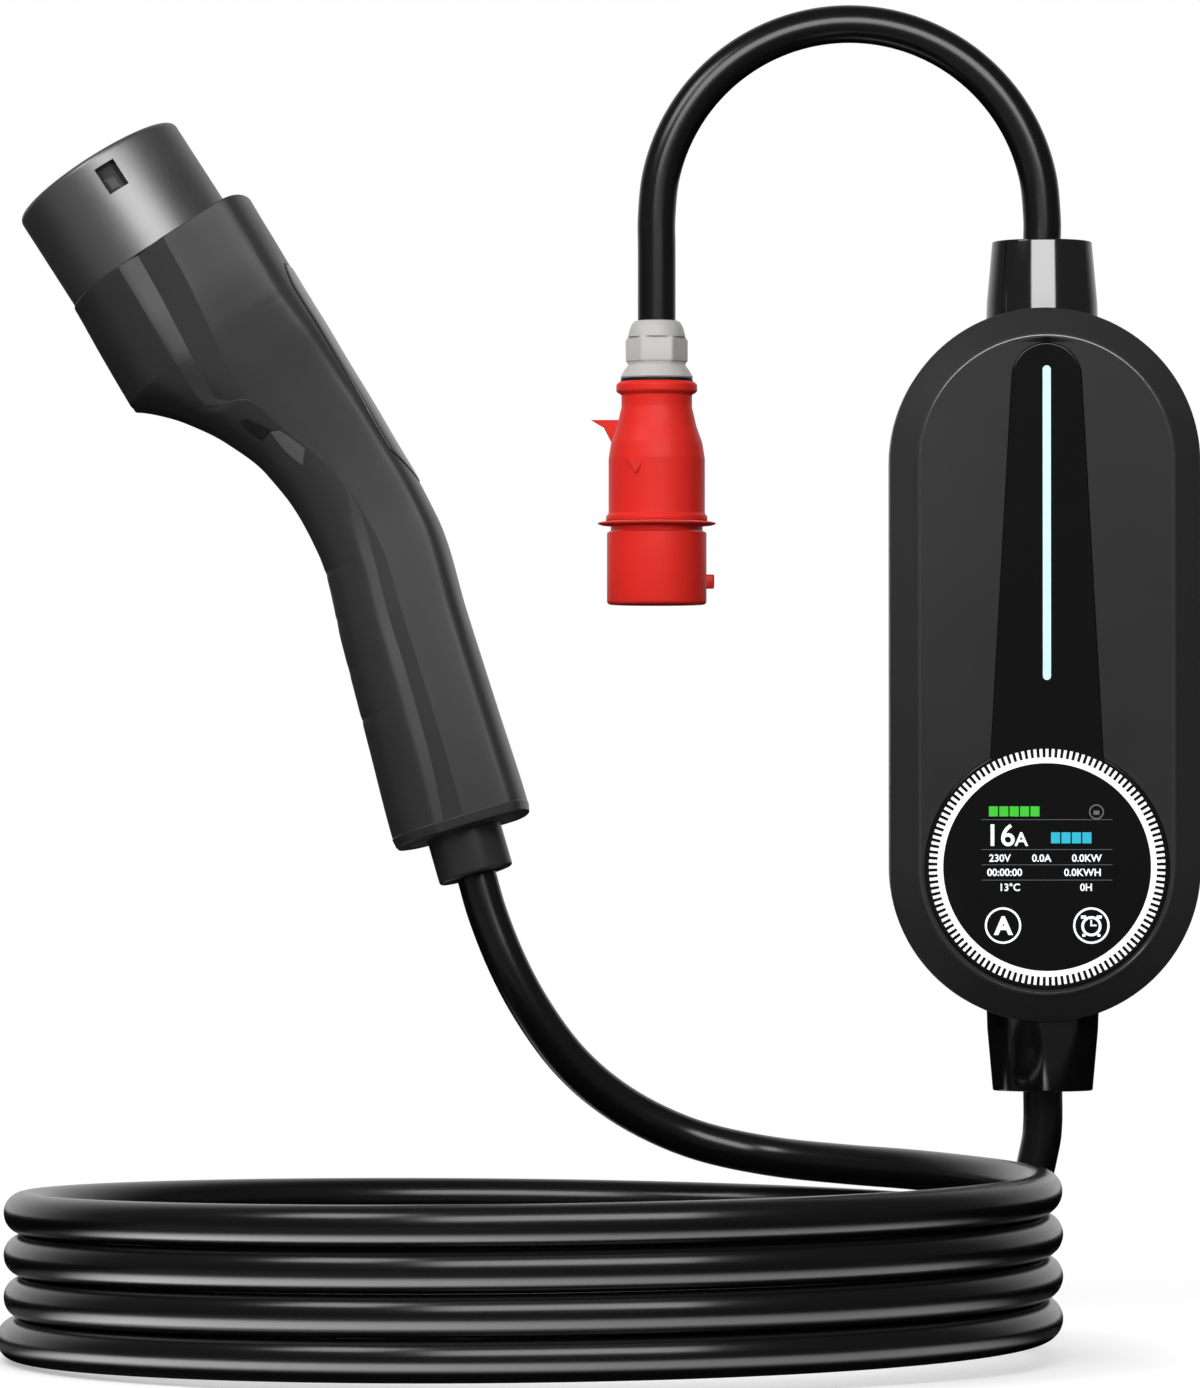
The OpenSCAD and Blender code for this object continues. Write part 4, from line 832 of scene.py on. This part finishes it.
def build_thumb_cover():
    """Cover on the thumb side: a skin a little proud of the shell with a tongue end, rolled down into
    the gap round it."""
    steps = np.array([0.3, 0.36, 0.6, 1.1])
    x = np.concatenate([THUMB_FROM + steps, np.linspace(THUMB_FROM + 2, THUMB_TO - 2, 60),
                        THUMB_TO - steps[::-1]])
    edge = run_of(np.interp(x, *THUMB_EDGE.T))
    top = np.full(len(x), TOP_RUN)
    run = np.concatenate([edge[:, None] + np.array([0.3, 0.36, 0.6, 1.0]), spread(edge + 1.6, top, 16),
                          top[:, None]], 1)
    proud, sunk = -0.2, np.array([0.9, 0.05, -0.12, -0.18])
    across = np.concatenate([sunk, np.full(17, proud)])
    down = np.concatenate([sunk, np.full(60, proud), sunk[::-1]])
    along = x[:, None] + tongue(x[:, None], run, edge[:, None])
    grids = wall_grids(section_points(along, run, np.maximum(across[None], down[:, None])),
                       section_points(along, run, np.full(run.shape, 1.05)))
    build_piece("thumb_cover", grids, "thumb_grey", ["gun_thumb_cover"], 25)


# Corners as distance behind the front ring and share of the depth, then how far the edge swells
# Facet: a lighter patch, a painted highlight where the facet catches the light
FACET = (np.array([[[64.6, -0.255], [79.9, -0.236]], [[66, -0.2], [75, -0.133]]]), 0.035)
# Leaf: a dark patch of painted shade under the upper shell's edge, drawn a little proud of the skin
SHADE_LEAF = (np.array([[[56.3, -0.335], [66, -0.345]], [[57.2, -0.285], [64.4, -0.228]]]), 0.02)
PATCH_UNDER, PATCH_PROUD = 0.4, -0.1


def build_side_patches(name, corners, swell, look):
    """Patch of the finger side behind the bend on each side: between four corners, drawn under at its
    edges."""
    u, v = np.linspace(0, 1, 25)[None, :, None], np.linspace(0, 1, 13)[:, None, None]
    low, high = ((1 - u) * start + u * end for start, end in corners)
    at = (1 - v) * low + v * high
    x, run = at[..., 0], run_of(at[..., 1] - swell * (4 * u * (1 - u) * (1 - v))[..., 0])
    inset = np.full(x.shape, PATCH_UNDER)
    inner = section_points(x, run, inset)
    inset[1:-1, 1:-1] = PATCH_PROUD
    outer = section_points(x, run, inset)
    grids = [(in_gun(side * np.array([1, 1, flip])), False, False)
             for side in (outer, inner) for flip in (1, -1)]
    build_piece(name, grids, look, sharp=25, slot_name="grip_grey")


def body_outline(x, inset):
    """Whole closed section of the body as (across, up) points."""
    half = section_points(np.array(x), np.linspace(0, TOP_RUN, 60), inset)
    middle, turn = monotone(STATIONS, np.array(x))[:2]
    turn = radians(turn)
    up = (half[:, 0] - (FRONT_X + x)) * sin(turn) + (half[:, 1] - middle) * cos(turn)
    flat = np.stack([half[:, 2], up], -1)
    return np.concatenate([flat, flat[-2:0:-1] * np.array([-1, 1])])


def build_closing_ring(name, outline, hole, low, high, place, look, node):
    """Flat ring between an outline of (across, up) points and a round hole, from one level to another."""
    reach = np.linalg.norm(outline, axis=1, keepdims=True)
    way = outline / reach
    rim, bore = way * np.maximum(reach, hole + 0.1), way * hole
    ring = np.stack([lifted(rim, low), lifted(rim, high), lifted(bore, high), lifted(bore, low)])
    build_piece(name, [(place(ring), True, True)], look, [node], 32, "grip_grey")


# Lock pocket: rows behind the nose's mouth and columns over its middle, in close pairs at the rim
POCKET_ROWS = np.array([4.5, 4.62, 6.5, 8.6, 10.6, 12.2, 13.5, 13.62])
POCKET_COLUMNS = np.array([-0.2, -0.08, 1.4, 3.1, 4.8, 6.4, 6.52])
POCKET_DEEP = 2.75
# Lining, a dark sheet of painted shade in the pocket, and step: from and to behind the mouth, from and to
# over the middle, and how deep
SHADE_LINING, STEP = (4.66, 13.46, -0.04, 6.36, 2.5), (8.6, 13.2, 0.5, 4.6, 1.6)


def within(values, marks):
    """Whether values lie inside the middles of the first and the last pair of marks."""
    return (values > marks[:2].mean()) & (values < marks[-2:].mean())


def build_nose():
    """Round nose with rolled rims, a step under the front ring, and a sunk lock pocket on each flank."""
    profile = rounded([(25, 20, 0), (25, 0, 0.9), (NOSE_R, 0, 1.9), (NOSE_R, NOSE_LENGTH, 0),
                       (26.5, NOSE_LENGTH + 0.02, 0), (26.5, 41, 0), (20.8, 41, 0), (20.8, 30.5, 0),
                       (25, 30.5, 0)], 6)
    first = np.flatnonzero(profile[:, 0] > NOSE_R - 0.001)[0]
    extra = np.stack([np.full(len(POCKET_ROWS), NOSE_R), POCKET_ROWS], -1)
    profile = np.insert(profile, first + 1, extra, axis=0)
    sides = np.linspace(0, 2 * pi, 180, endpoint=False)
    flank = np.arcsin(POCKET_COLUMNS / NOSE_R)
    a = np.concatenate([sides, flank % (2 * pi), pi - flank])
    a = np.unique(np.round(a, 5))
    r, z = profile[:, :1], profile[:, 1:2]
    inside = within(z, POCKET_ROWS) & (r > NOSE_R - 0.01) & within(NOSE_R * np.sin(a), POCKET_COLUMNS)
    grid = round_points(r - np.where(inside, POCKET_DEEP, 0), a, z)
    build_piece("nose", [(on_nose(grid), True, True)], "nose_plastic", ["gun_nose"], 30)


def build_pocket_patches(name, low_z, high_z, low_up, high_up, deep, look):
    """Patch of the nose's round in each lock pocket, drawn under at the edges."""
    u, v = np.linspace(0, 1, 9)[None, :], np.linspace(0, 1, 9)[:, None]
    up, z = low_up + (high_up - low_up) * u + 0 * v, low_z + (high_z - low_z) * v + 0 * u
    turn = np.arcsin(up / NOSE_R)
    under = np.full(z.shape, NOSE_R - deep - 0.2)
    over = under.copy()
    over[1:-1, 1:-1] = NOSE_R - deep
    grids = [(on_nose(round_points(radius, angle, z)), False, False)
             for angle in (turn, pi - turn) for radius in (under, over)]
    build_piece(name, grids, look, slot_name="nose_plastic")


def build_collar():
    """Strain relief: a collar with rounded edges and a hollow for the cable."""
    profile = rounded([(0, -3, 0), (14, -3, 0), (14, -0.1, 0), (11.6, -0.1, 0), (11.6, 18.5, 1.0),
                       (LEAD_R + 0.3, 18.5, 0.5), (LEAD_R + 0.1, 11, 0), (0, 11, 0)], 5)
    grids = [(on_grip(turned(profile)), False, True)]
    build_piece("strain_relief", grids, "relief_rubber", ["gun_strain_relief"])


build_upper_shell()
build_lower_shell()
build_thumb_cover()
# Lighter facets on each finger side, carrying a painted highlight
build_side_patches("painted_highlight_facets", *FACET, "facet_painted_highlight")
# Dark leaves of painted shade on each finger side
build_side_patches("painted_shade_leaves", *SHADE_LEAF, "painted_shade_dark")
front_outline = body_outline(-2.9, 3.1) + np.array([0, 3.3])
build_closing_ring("front_ring", front_outline, 26.6, NOSE_LENGTH + 0.1, NOSE_LENGTH + 2.9, on_nose,
                   "grip_grey", "gun_front_ring")
build_nose()
# Dark linings of painted shade in the lock pockets
build_pocket_patches("painted_shade_linings", *SHADE_LINING, "painted_shade_dark")
build_pocket_patches("pocket_steps", *STEP, "grip_grey")
end_outline = body_outline(GRIP_LENGTH, 4.7)
# End cap in a grey partly lightened as painted light from below
build_closing_ring("end_cap", end_outline, 11.75, 1.5, 4.35, on_grip, "cap_grey_painted_light", "gun_end_cap")
build_collar()


# Plug
def build_plug_body():
    """Body: bead, neck and shoulder rounded into one another, with a fin, an arrow and hollow inside."""
    profile = rounded([(12.8, 45.05, 0), (15.8, 45.05, 0.3), (15.8, 46.5, 0.6), (15, 47.4, 0.6),
                       (15, 64.5, 3), (14.2, 69.5, 3), (12.4, 74.5, 3), (11, 80.5, 3), (11, 84.3, 0.6),
                       (12.6, 85.3, 0.9), (12.6, 87.5, 0.9), (11.6, 88.45, 0.5), (4.2, 88.45, 0),
                       (4.2, 83, 0), (8.8, 82, 0), (8.8, 80, 0), (12.8, 64, 0)], 5)
    fin = np.array([(-20.4, 76.5), (-20.4, 76.5), (-10.4, 76.5), (-10.4, 68.5), (-13.6, 68.5),
                    (-16.4, 74.1)])
    arrow = np.array([(-9.3, 64), (-3.9, 64), (-6.6, 59.4)])
    grids = [(turned(profile) + PLUG_AXIS, True, True), (on_plug(prism(fin, -1.5, 1.5, 0.35)), False, True),
             (on_plug(prism(arrow, -14.5, -12.6, 0.12)), False, True)]
    return build_piece("plug_body_skin", grids, "plug_red", ["plug_body"])


def build_plug_sleeve():
    """Sleeve: pointed flange, groove and rounded mouth, with a key on its right."""
    profile = rounded([(13.3, 19, 0), (15.5, 19, 1.1), (15.5, 41.4, 0.4), (14.3, 42, 0.2),
                       (14.3, 43.4, 0.2), (17.2, 43.7, 0.5), (19, 44.3, 0.25), (17.2, 44.8, 0.5),
                       (15.5, 44.98, 0), (13.3, 44.98, 0)], 4)
    key = rounded([(14, -2.2, 0), (17.9, -2.2, 0.7), (17.9, 2.2, 0.7), (14, 2.2, 0)])
    lug = prism(key, 24, 28.4, 0.5) + PLUG_AXIS
    grids = [(turned(profile) + PLUG_AXIS, True, True), (lug, False, True)]
    return build_piece("plug_sleeve_skin", grids, "plug_red", ["plug_sleeve"])


NUT_R, NUT_FLAT, NUT_CORNER = 9.8, 8.49, 9.65


def build_gland_nut():
    """Nut: round collar, six flats with taken off corners, and a flared foot, in one turned surface."""
    foot = [(4.2, 89.5), (11, 89.5), (11.3, 89.9), (10.2, 91.8), (9.2, 93.2), (8.9, 93.6), (8.95, 94.0)]
    flats = [(9.3, 94.3), (NUT_R, 94.9), (NUT_R, 101.2), (9.3, 102)]
    collar = [(8.9, 102.4), (8.75, 103.4), (8.35, 105), (7.7, 106.4), (6.9, 107.3), (6.25, 107.45),
              (6.05, 107.2), (6.05, 100), (4.2, 99.5)]
    r, z = (np.array(column)[:, None] for column in zip(*foot, *flats, *collar))
    a = round_angles(144)
    turn = (a + pi / 6) % (pi / 3) - pi / 6
    hexagon = np.minimum(NUT_FLAT / np.cos(pi / 6 - np.abs(turn)), NUT_CORNER) / NUT_R
    row = np.arange(len(r))[:, None]
    flat = (row >= len(foot)) & (row < len(foot) + len(flats))
    grid = round_points(r * np.where(flat, hexagon, 1), a, z)
    return build_piece("gland_nut", [(grid + PLUG_AXIS, True, True)], "nut_white", ["plug_gland_nut"], 30)


def build_gland_seal():
    """Rubber ring between nut and body."""
    profile = rounded([(4.2, 88.52, 0), (11.2, 88.52, 0.2), (11.2, 89.44, 0.2), (4.2, 89.44, 0)])
    grids = [(turned(profile) + PLUG_AXIS, True, True)]
    return build_piece("gland_seal", grids, "seal_rubber", ["plug_gland_seal"])


plug_pieces = [build_plug_body(), build_plug_sleeve(), build_gland_nut(), build_gland_seal()]
for plug_piece in plug_pieces:
    plug_piece.visible_glossy = False


# Floor, world and lamps
FLOOR_Z, FLOOR_REACH, FLOOR_GLOW = -0.2051, 9, 0.38
# Ranges: from and to a distance or a height, then from and to a strength
FADE_MIDDLE, FADE = (-0.15, -0.15, FLOOR_Z), (0.25, 0.7, 0, 1)
BAND_NEAR, BAND_FAR = (0.156, 0.162, 0.02, 5), (0.176, 0.215, 1, 0.03)
BAND_FRONT, BAND_LEFT = (-0.3, -0.2, 1, 0.02), (-0.3, 0, 1.2, 0.4)
BEHIND_NEAR, BEHIND_FAR = (-0.02, 0.03, 0, 1.2), (0.2, 0.3, 1, 0)
ROOM, SKY, SKY_SIDES = (0.35, 1, 0.07, 0.8), (-0.5, 0.8, 0.06, 0.5), (-1, 1, 1.35, 0.6)


def joined(tree, operation, first, second):
    """Two values brought together by one operation."""
    return add_node(tree, "Math", {0: first, 1: second}, operation=operation)["Value"]


def ranged_pair(tree, first, first_range, second, second_range):
    """Product of two values, each led from one range to another."""
    return joined(tree, "MULTIPLY", ranged(tree, first, *first_range), ranged(tree, second, *second_range))


def distance_from(tree, place, point):
    """Distance of a coordinate from a point."""
    return add_node(tree, "VectorMath", {0: place, 1: point}, operation="DISTANCE")["Value"]


def mirrored_rays(tree):
    """Whether a ray comes from the camera, and whether it was mirrored or passed on by a clear surface."""
    path = add_node(tree, "LightPath", {})
    mirrored = joined(tree, "MAXIMUM", path["Is Glossy Ray"], path["Is Transmission Ray"])
    return path["Is Camera Ray"], mirrored


def mix_shaders(tree, factor, low, high):
    """Shader between two shaders."""
    return add_node(tree, "MixShader", {"Fac": factor, 1: low, 2: high})["Shader"]


def mix_values(tree, factor, low, high):
    """Value between two values."""
    return add_node(tree, "Mix", {"Factor": factor, "A": low, "B": high})["Result"]


def build_floor():
    """Pale floor that takes the shadow and fades into the white background; mirrored, a white band
    round the front of the coil and a fainter one close behind it."""
    low, high = -FLOOR_REACH, FLOOR_REACH
    corners = [(low, low, FLOOR_Z), (high, low, FLOOR_Z), (high, high, FLOOR_Z), (low, high, FLOOR_Z)]
    floor_mesh = bpy.data.meshes.new("floor")
    floor_mesh.from_pydata(corners, [], [(0, 1, 2, 3)])
    floor = bpy.data.objects.new("floor", floor_mesh)
    scene.collection.objects.link(floor)
    tree, shader, place = new_material("floor_white")
    here = place["Object"]
    fill(tree, shader, {"Base Color": (0.8, 0.8, 0.8, 1), "Roughness": 0.6, "Emission Color": (1, 1, 1, 1),
                        "Emission Strength": FLOOR_GLOW})
    white = add_node(tree, "Emission", {})["Emission"]
    fade = ranged(tree, distance_from(tree, here, FADE_MIDDLE), *FADE)
    shown = mix_shaders(tree, fade, shader.outputs["BSDF"], white)
    axes = add_node(tree, "SeparateXYZ", {"Vector": here})
    around = distance_from(tree, here, (*(COIL_MIDDLE * MM), FLOOR_Z))
    ring = ranged_pair(tree, around, BAND_NEAR, around, BAND_FAR)
    side = ranged_pair(tree, axes["Y"], BAND_FRONT, axes["X"], BAND_LEFT)
    behind = ranged_pair(tree, axes["Y"], BEHIND_NEAR, around, BEHIND_FAR)
    strength = joined(tree, "ADD", joined(tree, "MULTIPLY", ring, side), behind)
    mirror_white = add_node(tree, "Emission", {"Strength": strength})["Emission"]
    dull = add_node(tree, "BsdfDiffuse", {"Color": (0.3, 0.3, 0.3, 1)})["BSDF"]
    seen, mirrored = mirrored_rays(tree)
    surface = mix_shaders(tree, seen, mix_shaders(tree, mirrored, dull, mirror_white), shown)
    fill(tree, tree.nodes["Material Output"], {"Surface": surface})
    floor_mesh.materials.append(LOOKS["floor_white"])


def build_world():
    """White background; mirrored, a room dark in front and white behind; else soft light from above."""
    world = bpy.data.worlds.new("studio")
    scene.world = world
    world.use_nodes = True
    tree = world.node_tree
    axes = add_node(tree, "SeparateXYZ", {"Vector": add_node(tree, "TexCoord", {})["Generated"]})
    room = ranged(tree, axes["Y"], *ROOM)
    sky = ranged_pair(tree, axes["Z"], SKY, axes["X"], SKY_SIDES)
    seen, mirrored = mirrored_rays(tree)
    strength = mix_values(tree, seen, mix_values(tree, mirrored, sky, room), 1.0)
    fill(tree, tree.nodes["Background"], {"Color": (1, 1, 1, 1), "Strength": strength})


def hang_lamp(data, place, aim, power, mirrored):
    """Lamp turned to a point; the camera doesn't see it, and glossy surfaces mirror it where told."""
    data.energy = power
    lamp = bpy.data.objects.new(data.name, data)
    lamp.location = place
    lamp.rotation_euler = (Vector(aim) - Vector(place)).to_track_quat("-Z", "Y").to_euler()
    lamp.visible_camera = False
    lamp.visible_glossy = mirrored
    scene.collection.objects.link(lamp)


def add_softbox(name, place, aim, width, height, power, mirrored=True):
    """Rectangular lamp."""
    data = bpy.data.lights.new(name, "AREA")
    data.shape = "RECTANGLE"
    data.size, data.size_y = width, height
    hang_lamp(data, place, aim, power, mirrored)


def add_spot(name, place, aim, angle, power):
    """Narrow soft lamp."""
    data = bpy.data.lights.new(name, "SPOT")
    data.spot_size = radians(angle)
    data.spot_blend = 1.0
    data.shadow_soft_size = 0.08
    hang_lamp(data, place, aim, power, False)


build_floor()
build_world()
add_spot("plug_lamp", (-0.72, -0.85, 0.2), (-0.106, -0.03, 0.063), 6.5, 55)
add_softbox("main_softbox", (-0.03, -1.0, 0.54), (-0.1, -0.05, 0.02), 1.0, 0.5, 7.2)
add_softbox("left_softbox", (-0.75, -0.6, 0.75), (-0.12, -0.05, 0.05), 0.4, 0.4, 2.4)
add_softbox("back_right_softbox", (0.55, 1.1, 0.5), (-0.05, 0, 0), 0.6, 0.6, 4, False)
add_softbox("back_left_softbox", (-0.85, 1.1, 0.5), (-0.25, 0, 0), 0.6, 0.6, 4, False)
